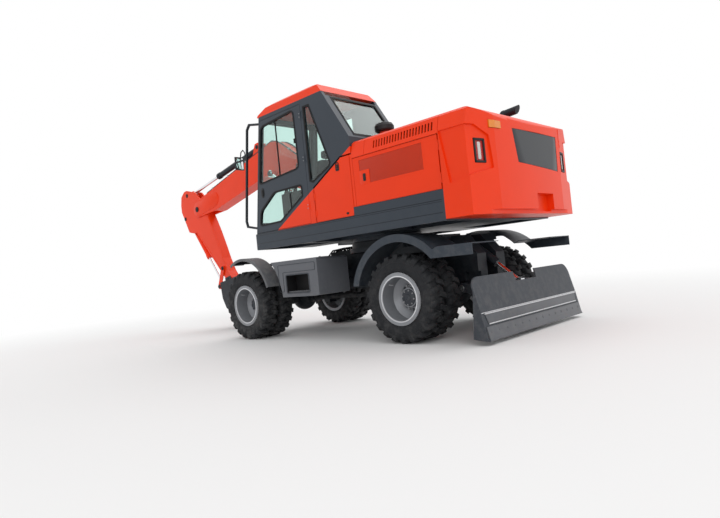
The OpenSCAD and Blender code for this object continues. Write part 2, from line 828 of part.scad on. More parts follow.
module hood_lid() {
    placed() color(paint) {
        difference() {
            hood_shell(weight_x + clear, lid_front_x - clear, lid_right_y + clear, body_hw);
            louvres();
        }
        for (x = lid_hinge_x)
            translate([x, lid_right_y + 2.5, hood_z + hinge_off]) rotate([90, 0, 90]) hinge_moving();
    }
}

module precleaner() {
    placed() color(dark) translate([425, 560, hood_z]) rotate_extrude($fn = 72) polygon([
        [0, 0], [60, 0], [60, 150], [112, 155], [118, 170], [118, 215], [100, 245], [55, 260], [0, 262]]);
}

module exhaust() {
    pipe_r = 50;
    foot = [-480, -720, hood_z];
    bend = [-480, -720, 2610];
    tip = bend + [-240, 0, 21];
    placed() color(dark) difference() {
        union() {
            bar(foot, bend, pipe_r);
            translate(bend) sphere(r = pipe_r + 5, $fn = 32);
            bar(bend, tip, pipe_r);
        }
        // Slanting mouth
        side_plate(bend[1] - 80, bend[1] + 80) polygon([
            [-703, 2700], [-640, 2560], [-760, 2560], [-760, 2700]]);
    }
}

module right_tank() {
    placed() color(paint) side_plate(-body_hw, -480) polygon([
        [hood_front_x + 10, deck_z], [1560, deck_z], [1560, 2180], [1520, 2230],
        [hood_front_x + 50, 2230], [hood_front_x + 10, 2200]]);
}

module right_box() {
    placed() color(paint) side_plate(-body_hw, -480) polygon([
        [1570, deck_z], [2440, deck_z], [2440, 1750], [2390, 1810], [2000, 1830],
        [2000, 2000], [1570, 2000]]);
}

/* Cab */

cab_front_low = [2465, deck_z];
cab_front_top = [2170, cab_top_z];
cab_rear_top = [905, cab_top_z];
cab_rear_low = [hood_front_x + 10, 2397];
diag_low = [1990, deck_z];
diag_top = [690, 2190];

// The cab's side outline
module cab_outline() {
    polygon([cab_front_low, cab_front_top, cab_rear_top, cab_rear_low,
        [cab_rear_low[0], 2200], [690, 2200], [1205, 1920], [1205, deck_z]]);
}

// The same outline one wall thickness inside
module cab_inside() {
    w = cab_wall;
    polygon([cab_front_low + [-w - 6, 30], [2179 - w, cab_top_z + 10], [880, cab_top_z + 10],
        [870, cab_top_z - 60], [cab_rear_low[0] + w, 2385], [cab_rear_low[0] + w, 2245],
        [700 + w / 2, 2245], [1205 + w, 1950], [1205 + w, deck_z + 30]]);
}

door_points = [[2430, deck_z + 12], [2158, 2985], [1310, 2985], [1310, deck_z + 12]];
rear_side_window = [[1245, 2930], [1150, 2930], [868, 2165], [885, 2125], [1195, 1990], [1245, 2010]];

module door_outline(inset) {
    polygon([door_points[0] + [-inset, inset], door_points[1] + [-inset * 1.1, -inset],
        door_points[2] + [inset, -inset], door_points[3] + [inset, inset]]);
}

front_glass_y = [cab_in_y + 70, cab_out_y - 70];
rear_glass_y = [cab_in_y + 90, cab_out_y - 120];

// X of the cab's front and rear walls at a height
function front_x(z) = cab_front_low[0]
    + (cab_front_top[0] - cab_front_low[0]) * (z - deck_z) / (cab_top_z - deck_z);
function rear_x(z) = cab_rear_low[0]
    + (cab_rear_top[0] - cab_rear_low[0]) * (z - cab_rear_low[1]) / (cab_top_z - cab_rear_low[1]);

front_glass_z = [1620, 2975];
rear_glass_z = [2440, 2960];

module front_pane(depth0, depth1, grow) {
    z0 = front_glass_z[0] - grow;
    z1 = front_glass_z[1] + grow;
    side_plate(front_glass_y[0] - grow, front_glass_y[1] + grow) polygon([
        [front_x(z0) - depth0, z0], [front_x(z1) - depth0, z1],
        [front_x(z1) - depth1, z1], [front_x(z0) - depth1, z0]]);
}

module rear_pane(depth0, depth1, grow) {
    z0 = rear_glass_z[0] - grow;
    z1 = rear_glass_z[1] + grow;
    side_plate(rear_glass_y[0] - grow, rear_glass_y[1] + grow) polygon([
        [rear_x(z0) + depth0, z0], [rear_x(z1) + depth0, z1],
        [rear_x(z1) + depth1, z1], [rear_x(z0) + depth1, z0]]);
}

right_window = [[2210, 2100], [2100, 2950], [1330, 2950], [1330, 2100]];

module cab_shell() {
    placed() color(slate) difference() {
        side_plate(cab_in_y, cab_out_y) cab_outline();
        side_plate(cab_in_y + cab_wall, cab_out_y - cab_wall) cab_inside();
        side_plate(cab_out_y - cab_wall - 5, cab_out_y + 5) door_outline(-clear);
        side_plate(cab_out_y - cab_wall - 5, cab_out_y + 5) polygon(rear_side_window);
        side_plate(cab_in_y - 5, cab_in_y + cab_wall + 5) polygon(right_window);
        front_pane(-60, 120, 0);
        rear_pane(-80, 120, 0);
    }
    placed() color(slate) {
        for (z = cover_hinge_z) {
            translate([cover_hinge_x, door_hinge_y, z]) mirror([1, 0, 0]) hinge_fixed();
            block([cover_hinge_x + 12, cab_out_y - 20, z - 60],
                [cover_hinge_x + 26, door_hinge_y - 1.5, z + 60]);
        }
        for (z = cab_hinge_z)
            translate([cab_hinge_x, cab_out_y + hinge_off, z]) hinge_fixed();
    }
}

module cab_roof() {
    x1 = cab_front_top[0];
    placed() color(paint) intersection() {
        side_plate(cab_in_y + 5, cab_out_y - 5) polygon([
            [x1 + 35, cab_top_z], [x1 + 43, cab_top_z + 12], [x1 + 26, cab_top_z + 34], [2008, roof_z - 35],
            [1900, roof_z - 10], [1600, roof_z], [1150, roof_z - 4], [1000, roof_z - 30],
            [cab_rear_top[0] - 5, cab_top_z]]);
        cross_plate(500, 2400) polygon([
            [cab_in_y + 5, cab_top_z], [cab_out_y - 5, cab_top_z], [cab_out_y - 22, roof_z - 45],
            [cab_out_y - 90, roof_z], [cab_in_y + 90, roof_z], [cab_in_y + 22, roof_z - 45]]);
    }
}

module cab_glass() {
    g = seat_gap;
    placed() color([0.6, 0.8, 0.75, 0.4]) {
        front_pane(12, 12 + glass_t, -g);
        rear_pane(12, 12 + glass_t, -g);
        side_plate(cab_in_y + 12, cab_in_y + 12 + glass_t) polygon(inset(right_window, g));
        side_plate(cab_out_y - 12 - glass_t, cab_out_y - 12) polygon(inset(rear_side_window, g));
    }
}

// 1 where an outline runs anticlockwise, otherwise -1
function turning(points) = sign([for (i = [0:len(points) - 1])
    points[i][0] * points[(i + 1) % len(points)][1] - points[i][1] * points[(i + 1) % len(points)][0]]
    * [for (p = points) 1]);

// An outline with every side moved inwards by g
function inset(points, g) = [for (i = [0:len(points) - 1])
    let (n = len(points),
        u = dir(points[(i + n - 1) % n], points[i]),
        v = dir(points[i], points[(i + 1) % n]),
        a = turning(points) * [-u[1], u[0]],
        b = turning(points) * [-v[1], v[0]])
    points[i] + g * (a + b) / (1 + a * b)];

module seat() {
    placed() color(dark) {
        block([1480, 430, deck_z + 30], [1860, 790, deck_z + 250]);
        block([1430, 380, deck_z + 250], [1930, 840, deck_z + 380]);
        side_plate(390, 830) polygon([[1430, deck_z + 380], [1550, deck_z + 380],
            [1450, 2450], [1350, 2450]]);
    }
}

module cab_controls() {
    placed() color(dark) {
        for (y = [240, 880]) {
            block([1450, y, deck_z + 30], [1980, y + 110, deck_z + 480]);
            bar([1930, y + 55, deck_z + 480], [1945, y + 55, deck_z + 640], 14);
        }
        bar([2250, 610, deck_z + 37], [2110, 610, 2200], 30);
        translate([2110, 610, 2200]) rotate([0, -13, 0]) rotate_extrude($fn = 48)
            translate([170, 0]) circle(r = 13, $fn = 24);
        translate([2110, 610, 2200]) rotate([0, -13, 0]) translate([-170, -12, -8]) cube([340, 24, 16]);
    }
}

cab_hinge_x = door_points[2][0] - 6;
cab_hinge_z = [1700, 2300, 2850];
upper_window = [[2280, 2182], [2156, 2848], [2136, 2882], [2092, 2902], [1505, 2943], [1470, 2934],
    [1450, 2900], [1442, 2262], [1456, 2226], [1496, 2207], [2246, 2150], [2274, 2160]];
lower_window = [[2350, 1625], [2322, 1745], [2290, 1790], [2010, 1970], [1960, 1984], [1450, 1986],
    [1425, 1965], [1425, 1850], [1905, 1590], [2320, 1585], [2344, 1598]];

module cab_door() {
    placed() color(slate) difference() {
        side_plate(cab_out_y - 40, cab_out_y) door_outline(0);
        side_plate(cab_out_y - 60, cab_out_y + 5) polygon(upper_window);
        side_plate(cab_out_y - 60, cab_out_y + 5) polygon(lower_window);
    }
    placed() color(slate) for (z = cab_hinge_z)
        translate([cab_hinge_x, cab_out_y + hinge_off, z]) hinge_moving();
}

module door_glass() {
    placed() color([0.6, 0.8, 0.75, 0.4]) {
        side_plate(cab_out_y - 12 - glass_t, cab_out_y - 12) polygon(inset(upper_window, seat_gap));
        side_plate(cab_out_y - 12 - glass_t, cab_out_y - 12) polygon(inset(lower_window, seat_gap));
    }
}

rail_y = cab_out_y - 30;

module rails_and_mirrors() {
    pts = [[2199.5, 2960], [2440, 3010], [2500, 2950], [2722, 1690], [2700, 1610], [2465, 1560]];
    placed() color(dark) {
        side_plate(rail_y - 13, rail_y + 13) for (i = [0:len(pts) - 2])
            link_outline(pts[i], pts[i + 1], 14);
        side_plate(rail_y - 10, rail_y + 10) link_outline([2575, 2560], [2850, 2560], 10);
        block([2840, rail_y - 129, 2457], [2860, rail_y + 11, 2646]);
    }
}

/* Boom */

arm_pin = [5950, 2335];
boom_knee = [3420, 2870];
boom_eye = [3394, 2558];
arm_foot = [3880, 3120];
pin_r = 38;

module boom_outline() {
    h = boom_depth / 2;
    polygon(concat(
        [[1720, 1950], [1900, 2080], [3180, 3010], [3300, 3080], [3420, 3100]],
        [[5800, 2530]],
        arc(arm_pin, 155, 75, -105, 8),
        [[5300, 2230], [3720, 2560], [3560, 2560], [3400, 2490], [1900, 1790]]));
}

module boom() {
    y0 = boom_y - boom_w / 2;
    y1 = boom_y + boom_w / 2;
    placed() color(paint) difference() {
        union() {
            side_plate(y0, y1) boom_outline();
            boss(boom_foot[0], boom_foot[1], 100, y0, y1);
            // Ears for the arm cylinder's foot
            for (y = [y0 + 40, y1 - 60])
                side_plate(y, y + 20) polygon([
                    [3700, 3005], [3780, 3150], [3850, 3190], [3930, 3180], [3975, 3100], [4050, 2900]]);
            boss(arm_foot[0], arm_foot[1], 30, y0 + 38, y1 - 38);
        }
        boss(boom_foot[0], boom_foot[1], foot_pin_r + run_fit, y0 - 1, y1 + 1);
        // Fork for the arm at the boom's tip
        block([5340, boom_y - arm_w / 2 - clear, 1900], [6250, boom_y + arm_w / 2 + clear, 2700]);
    }
    placed() color(paint) boss(arm_pin[0], arm_pin[1], pin_r, y0 - 15, y1 + 15);
}

module boom_barrels() {
    placed() color(dark) for (s = [-1, 1])
        barrel(cyl_foot, boom_eye, boom_y + s * cyl_y, boom_cyl_r, boom_rod_r, 1150, 35, 45);
}

module boom_rods() {
    placed() color(steel) for (s = [-1, 1]) {
        rod(cyl_foot, boom_eye, boom_y + s * cyl_y, boom_rod_r, 1300, 60, 40);
        boss(boom_eye[0], boom_eye[1], 34, boom_y + s * 189 - 58, boom_y + s * 189 + 58);
    }
}

/* Arm */

tip_pin = [5100, 880];
arm_dir = dir(arm_pin, tip_pin);

// A place on the arm: along it from its pivot, and out from its line
function on_arm(u, v) = arm_pin + u * arm_dir + v * [-arm_dir[1], arm_dir[0]];

arm_eye = on_arm(-504, 191);
bucket_foot = on_arm(-180, 545);
idler_pin = on_arm(1391, 30);
idler_end = on_arm(1600, 345);

// The arm's outline: along its line and out from it, first the front, then the back
arm_front = [[-110, -157], [-376, -75], [-600, 150], [-636, 236], [-625, 390], [-505, 505], [-380, 575],
    [119, 600], [240, 470], [290, 380], [1560, 105]];
arm_back = [[1500, -60], [1228, -75], [998, -110], [635, -150], [316, -165], [60, -165]];
cheek_gap = 62;

module arm() {
    y0 = boom_y - arm_w / 2;
    y1 = boom_y + arm_w / 2;
    placed() color(paint)
        boss(bucket_foot[0], bucket_foot[1], 30, boom_y - cheek_gap - 2, boom_y + cheek_gap + 2);
    placed() color(paint) difference() {
        side_plate(y0, y1) polygon(concat(
            [for (p = arm_front) on_arm(p[0], p[1])],
            arc(tip_pin, 85, -38, -218, 6),
            [for (p = arm_back) on_arm(p[0], p[1])]));
        // Open head where the two cylinders' ends stand
        side_plate(boom_y - cheek_gap, boom_y + cheek_gap) polygon([
            on_arm(-140, -220), on_arm(-140, 430), on_arm(260, 400), on_arm(260, 800),
            on_arm(-900, 800), on_arm(-900, -220)]);
        boss(arm_pin[0], arm_pin[1], pin_r + run_fit, y0 - 1, y1 + 1);
        boss(idler_pin[0], idler_pin[1], 28 + run_fit, y0 - 1, y1 + 1);
    }
    placed() color(paint) boss(tip_pin[0], tip_pin[1], pin_r, boom_y - 150, boom_y + 150);
}

module arm_barrel() {
    placed() color(dark) barrel(arm_foot, arm_eye, boom_y, arm_cyl_r, arm_rod_r, 1400, 30, 42);
}
module arm_rod() {
    placed() color(steel) {
        rod(arm_foot, arm_eye, boom_y, arm_rod_r, 1480, 55, 42);
        boss(arm_eye[0], arm_eye[1], 28, boom_y - cheek_gap + 1, boom_y + cheek_gap - 1);
    }
}
module bucket_barrel() {
    placed() color(dark) barrel(bucket_foot, idler_end, boom_y, arm_cyl_r - 8, arm_rod_r - 4, 1050, 30, 42);
}
module bucket_rod() {
    placed() color(steel) rod(bucket_foot, idler_end, boom_y, arm_rod_r - 4, 1000, 50, 38);
}

/* Bucket and its links */

tooth_dir = 172;
bucket_ear = polar(tip_pin, 270, 262);

// A place on the bucket: along the line to its teeth, and out towards its back
function on_bucket(u, v) = tip_pin + u * [cos(tooth_dir), sin(tooth_dir)]
    + v * [cos(tooth_dir + 90), sin(tooth_dir + 90)];

module bucket() {
    hw = bucket_w / 2;
    t = 14;
    back = [on_bucket(105, 60), on_bucket(104, 330), on_bucket(175, 520), on_bucket(335, 620),
        on_bucket(520, 600), on_bucket(920, 60)];
    inner = [on_bucket(119, 60), on_bucket(118, 325), on_bucket(186, 508), on_bucket(338, 602),
        on_bucket(512, 582), on_bucket(905, 50)];
    placed() color(dark) difference() {
        union() {
            side_plate(boom_y - hw, boom_y + hw)
                polygon(concat(back, [on_bucket(900, 30), on_bucket(105, 40)]));
            for (i = [0:4])
                side_plate(boom_y - hw + 20 + i * (bucket_w - 100) / 4,
                    boom_y - hw + 80 + i * (bucket_w - 100) / 4)
                    polygon([on_bucket(870, 62), on_bucket(905, 92), on_bucket(968, 84),
                        on_bucket(970, 72), on_bucket(900, 20)]);
            // Ears
            for (y = [-145, 118])
                side_plate(boom_y + y, boom_y + y + 27) polygon([
                    on_bucket(-70, -60), on_bucket(80, -70), on_bucket(118, 50), on_bucket(119, 345),
                    on_bucket(-10, 345), on_bucket(-60, 300)]);
        }
        side_plate(boom_y - hw + t, boom_y + hw - t)
            polygon(concat(inner, [on_bucket(980, -100), on_bucket(119, -100)]));
        boss(tip_pin[0], tip_pin[1], pin_r + run_fit, boom_y - 200, boom_y + 200);
    }
}

module idler_links() {
    placed() color(dark) {
        for (s = [-1, 1])
            side_plate(boom_y + s * 105 - 9, boom_y + s * 105 + 9) link_outline(idler_pin, idler_end, 48);
        boss(idler_pin[0], idler_pin[1], 28, boom_y - 120, boom_y + 120);
        for (s = [-1, 1])
            boss(idler_end[0], idler_end[1], 28, boom_y + s * 84 - 36, boom_y + s * 84 + 36);
    }
}

module link_outline(p, q, r) {
    d = dir(p, q);
    n = [-d[1], d[0]];
    translate(p) circle(r = r, $fn = 48);
    translate(q) circle(r = r, $fn = 48);
    polygon([p + r * n, q + r * n, q - r * n, p - r * n]);
}

module bucket_link() {
    placed() color(dark) difference() {
        union() {
            for (s = [-1, 1])
                side_plate(boom_y + s * 69 - 19, boom_y + s * 69 + 19)
                    link_outline(idler_end, bucket_ear, 45);
            boss(bucket_ear[0], bucket_ear[1], 45, boom_y - 88, boom_y + 88);
        }
        boss(idler_end[0], idler_end[1], 28 + run_fit, boom_y - 100, boom_y + 100);
    }
}

chassis_frame();
side_boxes();
rear_guards();
front_axle();
rear_axle();
gearbox_and_shafts();
knuckle_left();
knuckle_right();
front_guard_left();
front_guard_right();
front_tyres_left();
front_rims_left();
front_tyres_right();
front_rims_right();
rear_tyres_left();
rear_rims_left();
rear_tyres_right();
rear_rims_right();
blade();
blade_barrel();
blade_rod();
platform();
counterweight();
lamps();
side_door_left();
hood_door_left();
hood_door_right();
hood_cowl();
hood_lid();
precleaner();
exhaust();
engine_block();
swing_gear();
right_tank();
right_box();
cab_shell();
cab_roof();
cab_glass();
seat();
cab_controls();
cab_door();
door_glass();
rails_and_mirrors();
boom();
boom_barrels();
boom_rods();
arm();
arm_barrel();
arm_rod();
bucket();
idler_links();
bucket_link();
bucket_barrel();
bucket_rod();
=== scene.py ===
"""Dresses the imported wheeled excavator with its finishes, trim, glazing seals, seat and studio."""

import json
import logging
import math
from dataclasses import dataclass, replace
from enum import Enum
from functools import partial
from typing import Callable, Sequence

import bmesh
import bpy
from mathutils import Matrix, Vector

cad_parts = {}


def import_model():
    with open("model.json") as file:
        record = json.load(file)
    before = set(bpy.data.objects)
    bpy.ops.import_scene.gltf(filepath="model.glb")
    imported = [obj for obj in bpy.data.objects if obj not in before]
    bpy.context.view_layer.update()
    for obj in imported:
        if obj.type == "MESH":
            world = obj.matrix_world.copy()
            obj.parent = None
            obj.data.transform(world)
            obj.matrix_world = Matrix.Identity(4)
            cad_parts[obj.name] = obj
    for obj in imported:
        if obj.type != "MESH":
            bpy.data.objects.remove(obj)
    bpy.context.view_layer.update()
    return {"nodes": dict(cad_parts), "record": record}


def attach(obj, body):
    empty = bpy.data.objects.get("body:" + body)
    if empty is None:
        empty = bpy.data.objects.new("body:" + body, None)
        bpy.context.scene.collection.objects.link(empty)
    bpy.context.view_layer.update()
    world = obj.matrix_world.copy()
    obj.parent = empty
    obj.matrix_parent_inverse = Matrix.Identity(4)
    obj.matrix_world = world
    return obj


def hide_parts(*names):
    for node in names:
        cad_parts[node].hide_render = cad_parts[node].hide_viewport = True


LOG = logging.getLogger("excavator")

Point = tuple[float, float]
Place = tuple[float, float, float]
Colour = tuple[float, float, float]
Socket = bpy.types.NodeSocket
Tree = bpy.types.NodeTree

# In millimetres, as in the solids: rear axle to the machine's middle, boom's plane, wheelbase, axles' height
MIDDLE_X = 2745.397
BOOM_Y = -170.0
WHEELBASE = 2900.0
AXLE_Z = 490.0
SIDES = ((1, "left"), (-1, "right"))
WHEELS = {"front_left": (WHEELBASE, 1), "front_right": (WHEELBASE, -1), "rear_left": (0.0, 1),
          "rear_right": (0.0, -1)}


def at(x: float, y: float, z: float) -> Vector:
    """Turns millimetres measured from the rear axle into the frame's metres."""
    return Vector(((x - MIDDLE_X) / 1000, y / 1000, z / 1000))


def polar(centre: Point, radius: float, degrees: float) -> Point:
    """Gives the point at a distance and angle from a centre in the side plane."""
    turn = math.radians(degrees)
    return centre[0] + radius * math.cos(turn), centre[1] + radius * math.sin(turn)


class Plane(Enum):
    """The plane in which an outline is drawn; it is made solid along the third axis."""

    SIDE = "xz"
    CROSS = "yz"
    PLAN = "xy"

    def place(self, p: Point, depth: float) -> Vector:
        """Gives the frame position of an outline point at a depth along the third axis."""
        if self is Plane.SIDE:
            return at(p[0], depth, p[1])
        if self is Plane.CROSS:
            return at(depth, p[0], p[1])
        return at(p[0], p[1], depth)


class Axis(Enum):
    """The axis about which a turned form stands."""

    X = 0
    Y = 1
    Z = 2

    def basis(self, sign: int = 1) -> tuple[Vector, Vector, Vector]:
        """Gives the axis itself and two vectors across it."""
        units = [Vector((1, 0, 0)), Vector((0, 1, 0)), Vector((0, 0, 1))]
        along = units[self.value] * sign
        return along, units[(self.value + 1) % 3], units[(self.value + 2) % 3]


def grown(points: Sequence[Point], by: float) -> list[Point]:
    """Moves every side of a closed outline outwards.

    Args:
        points: The outline, in either direction.
        by: The distance in millimetres; a negative one moves the sides inwards.

    Returns:
        The new outline with as many points.
    """
    count = len(points)
    area = sum(points[i][0] * points[(i + 1) % count][1] - points[i][1] * points[(i + 1) % count][0]
               for i in range(count))
    side = -1 if area > 0 else 1
    result = []
    for i in range(count):
        before, here, after = (Vector(points[k % count]) for k in (i - 1, i, i + 1))
        u, v = (here - before).normalized(), (after - here).normalized()
        a, b = side * Vector((-u.y, u.x)), side * Vector((-v.y, v.x))
        shift = here + by * (a + b) / max(0.3, 1 + a.dot(b))
        result.append((shift.x, shift.y))
    return result


def rounded(points: Sequence[Point], radius: float, steps: int = 5) -> list[Point]:
    """Rounds the corners of a closed outline.

    Args:
        points: The outline's corners.
        radius: How far each corner is cut back along its sides, in millimetres.
        steps: The number of pieces in each corner.

    Returns:
        The rounded outline.
    """
    count = len(points)
    result = []
    for i in range(count):
        before, here, after = (Vector(points[k % count]) for k in (i - 1, i, i + 1))
        cut = min(radius, (here - before).length * 0.45, (after - here).length * 0.45)
        a, b = here + (before - here).normalized() * cut, here + (after - here).normalized() * cut
        for k in range(steps + 1):
            t = k / steps
            p = (1 - t) ** 2 * a + 2 * t * (1 - t) * here + t * t * b
            result.append((p.x, p.y))
    return result


def rect(x0: float, y0: float, x1: float, y1: float) -> list[Point]:
    """Gives the corners of a rectangle."""
    return [(x0, y0), (x1, y0), (x1, y1), (x0, y1)]


def x_at(z: float, low: Point, high: Point) -> float:
    """Gives the X at a height of a slanting line in the side plane."""
    return low[0] + (high[0] - low[0]) * (z - low[1]) / (high[1] - low[1])


def oval(centre: Point, half_w: float, half_h: float, steps: int = 28) -> list[Point]:
    """Gives the outline of an oval."""
    return [(centre[0] + half_w * math.cos(2 * math.pi * i / steps),
             centre[1] + half_h * math.sin(2 * math.pi * i / steps)) for i in range(steps)]


def stand(data: bpy.types.ID) -> bpy.types.Object:
    """Makes an object of the data's name and links it to the scene."""
    obj = bpy.data.objects.new(data.name, data)
    bpy.context.scene.collection.objects.link(obj)
    return obj


class Form:
    """Collects closed forms into one mesh, in millimetres from the rear axle."""

    def __init__(self) -> None:
        """Starts an empty mesh."""
        self.mesh = bmesh.new()

    def loft(self, loops: Sequence[Sequence[Vector]], bevel: float = 0.0, ring: bool = False) -> "Form":
        """Joins loops of equally many points into a closed form.

        Args:
            loops: The loops, one after the other.
            bevel: Width of the broken edges in millimetres.
            ring: Whether the last loop joins the first one; otherwise both ends are closed.

        Returns:
            The form itself.
        """
        rows = [[self.mesh.verts.new(p) for p in loop] for loop in loops]
        count = len(rows[0])
        pairs = zip(rows, rows[1:] + rows[:1] if ring else rows[1:])
        faces = [self.mesh.faces.new((a[i], a[(i + 1) % count], b[(i + 1) % count], b[i]))
                 for a, b in pairs for i in range(count)]
        if not ring:
            faces += [self.mesh.faces.new(rows[0]), self.mesh.faces.new(rows[-1])]
        if bevel:
            edges = list({e for f in faces for e in f.edges})
            bmesh.ops.bevel(self.mesh, geom=edges, offset=bevel / 1000, segments=2, profile=0.5,
                            affect="EDGES", clamp_overlap=True)
        return self

    def prism(self, outline: Sequence[Point], plane: Plane, low: float, high: float,
              bevel: float = 0.0) -> "Form":
        """Makes an outline solid between two depths."""
        return self.loft([[plane.place(p, d) for p in outline] for d in (low, high)], bevel)

    def block(self, low: Place, high: Place, bevel: float = 2.0) -> "Form":
        """Makes a block with broken edges between two corners."""
        return self.prism(rect(*low[:2], *high[:2]), Plane.PLAN, low[2], high[2], bevel)

    def frame(self, outer: Sequence[Point], inner: Sequence[Point],
              place: Callable[[Point, float], Vector], low: float, high: float) -> "Form":
        """Makes the band between two outlines solid between two depths.

        Args:
            outer: The outer outline.
            inner: The inner outline, with as many points.
            place: Turns an outline point and a depth into a position.
            low: The first depth.
            high: The second depth.

        Returns:
            The form itself.
        """
        corners = [(outer, low), (outer, high), (inner, high), (inner, low)]
        return self.loft([[place(p, d) for p in loop] for loop, d in corners], ring=True)

    def band(self, outline: Sequence[Point], out: float, inside: float, low: float, high: float) -> "Form":
        """Makes the band from outside to inside an outline in the side plane solid."""
        return self.frame(grown(outline, out), grown(outline, inside), Plane.SIDE.place, low, high)

    def tube(self, points: Sequence[Vector], radius: float, sides: int = 14) -> "Form":
        """Runs a round bar along points.

        Args:
            points: The path, in the frame's metres.
            radius: Radius of the bar in millimetres.
            sides: Number of sides of its section.

        Returns:
            The form itself.
        """
        last = len(points) - 1
        loops = []
        side = None
        for i, p in enumerate(points):
            along = (points[min(i + 1, last)] - points[max(i - 1, 0)]).normalized()
            if side is None:
                side = along.orthogonal().normalized()
            side = (side - along * side.dot(along)).normalized()
            up = along.cross(side)
            loops.append([p + radius / 1000 * (side * math.cos(a) + up * math.sin(a))
                          for a in (2 * math.pi * k / sides for k in range(sides))])
        return self.loft(loops)

    def lathe(self, profile: Sequence[Point], centre: Place, axis: Axis, sign: int = 1,
              steps: int = 40) -> "Form":
        """Turns a profile about an axis.

        Args:
            profile: Radius and distance along the axis, from the axis back to it or as a ring round it.
            centre: Where distance 0 lies.
            axis: The axis.
            sign: 1 to build along the axis, -1 against it.
            steps: Number of sides.

        Returns:
            The form itself.
        """
        along, u, v = axis.basis(sign)
        base = at(*centre)
        angles = [2 * math.pi * k / steps for k in range(steps)]
        round_it = [u * math.cos(a) + v * math.sin(a) for a in angles]
        loops = [[base + along * (d / 1000) + r / 1000 * out for out in round_it]
                 for r, d in profile if r > 0]
        return self.loft(loops, ring=len(loops) == len(profile))

    def bolts(self, centres: Sequence[Place], axis: Axis, radius: float, height: float,
              sign: int = 1) -> "Form":
        """Sets a row of six-sided bolt heads on round washers."""
        for centre in centres:
            self.lathe([(0, -1), (radius * 1.35, -1), (radius * 1.35, height * 0.2), (0, height * 0.2)],
                       centre, axis, sign, 18)
            self.lathe([(0, 0), (radius, 0), (radius, height * 0.86), (radius * 0.86, height), (0, height)],
                       centre, axis, sign, 6)
        return self


@dataclass(frozen=True)
class Finish:
    """What a surface is made of and how it has aged."""

    name: str
    slot: str
    colour: Colour
    roughness: float
    metallic: float = 0.0
    coat: float = 0.0
    mottle: float = 0.06
    grain_scale: float = 60.0
    grain_height: float = 0.0
    dust: float = 0.0
    dust_top: float = 1.2
    wear: float = 0.0
    bare: Colour = (0.30, 0.29, 0.28)
    below: Colour | None = None
    split: tuple[float, float, float] = (0.0, 1.0, 0.0)
    rings: float | None = None
    holes: float = 0.0
    weave: float = 0.0
    ribs: float = 0.0


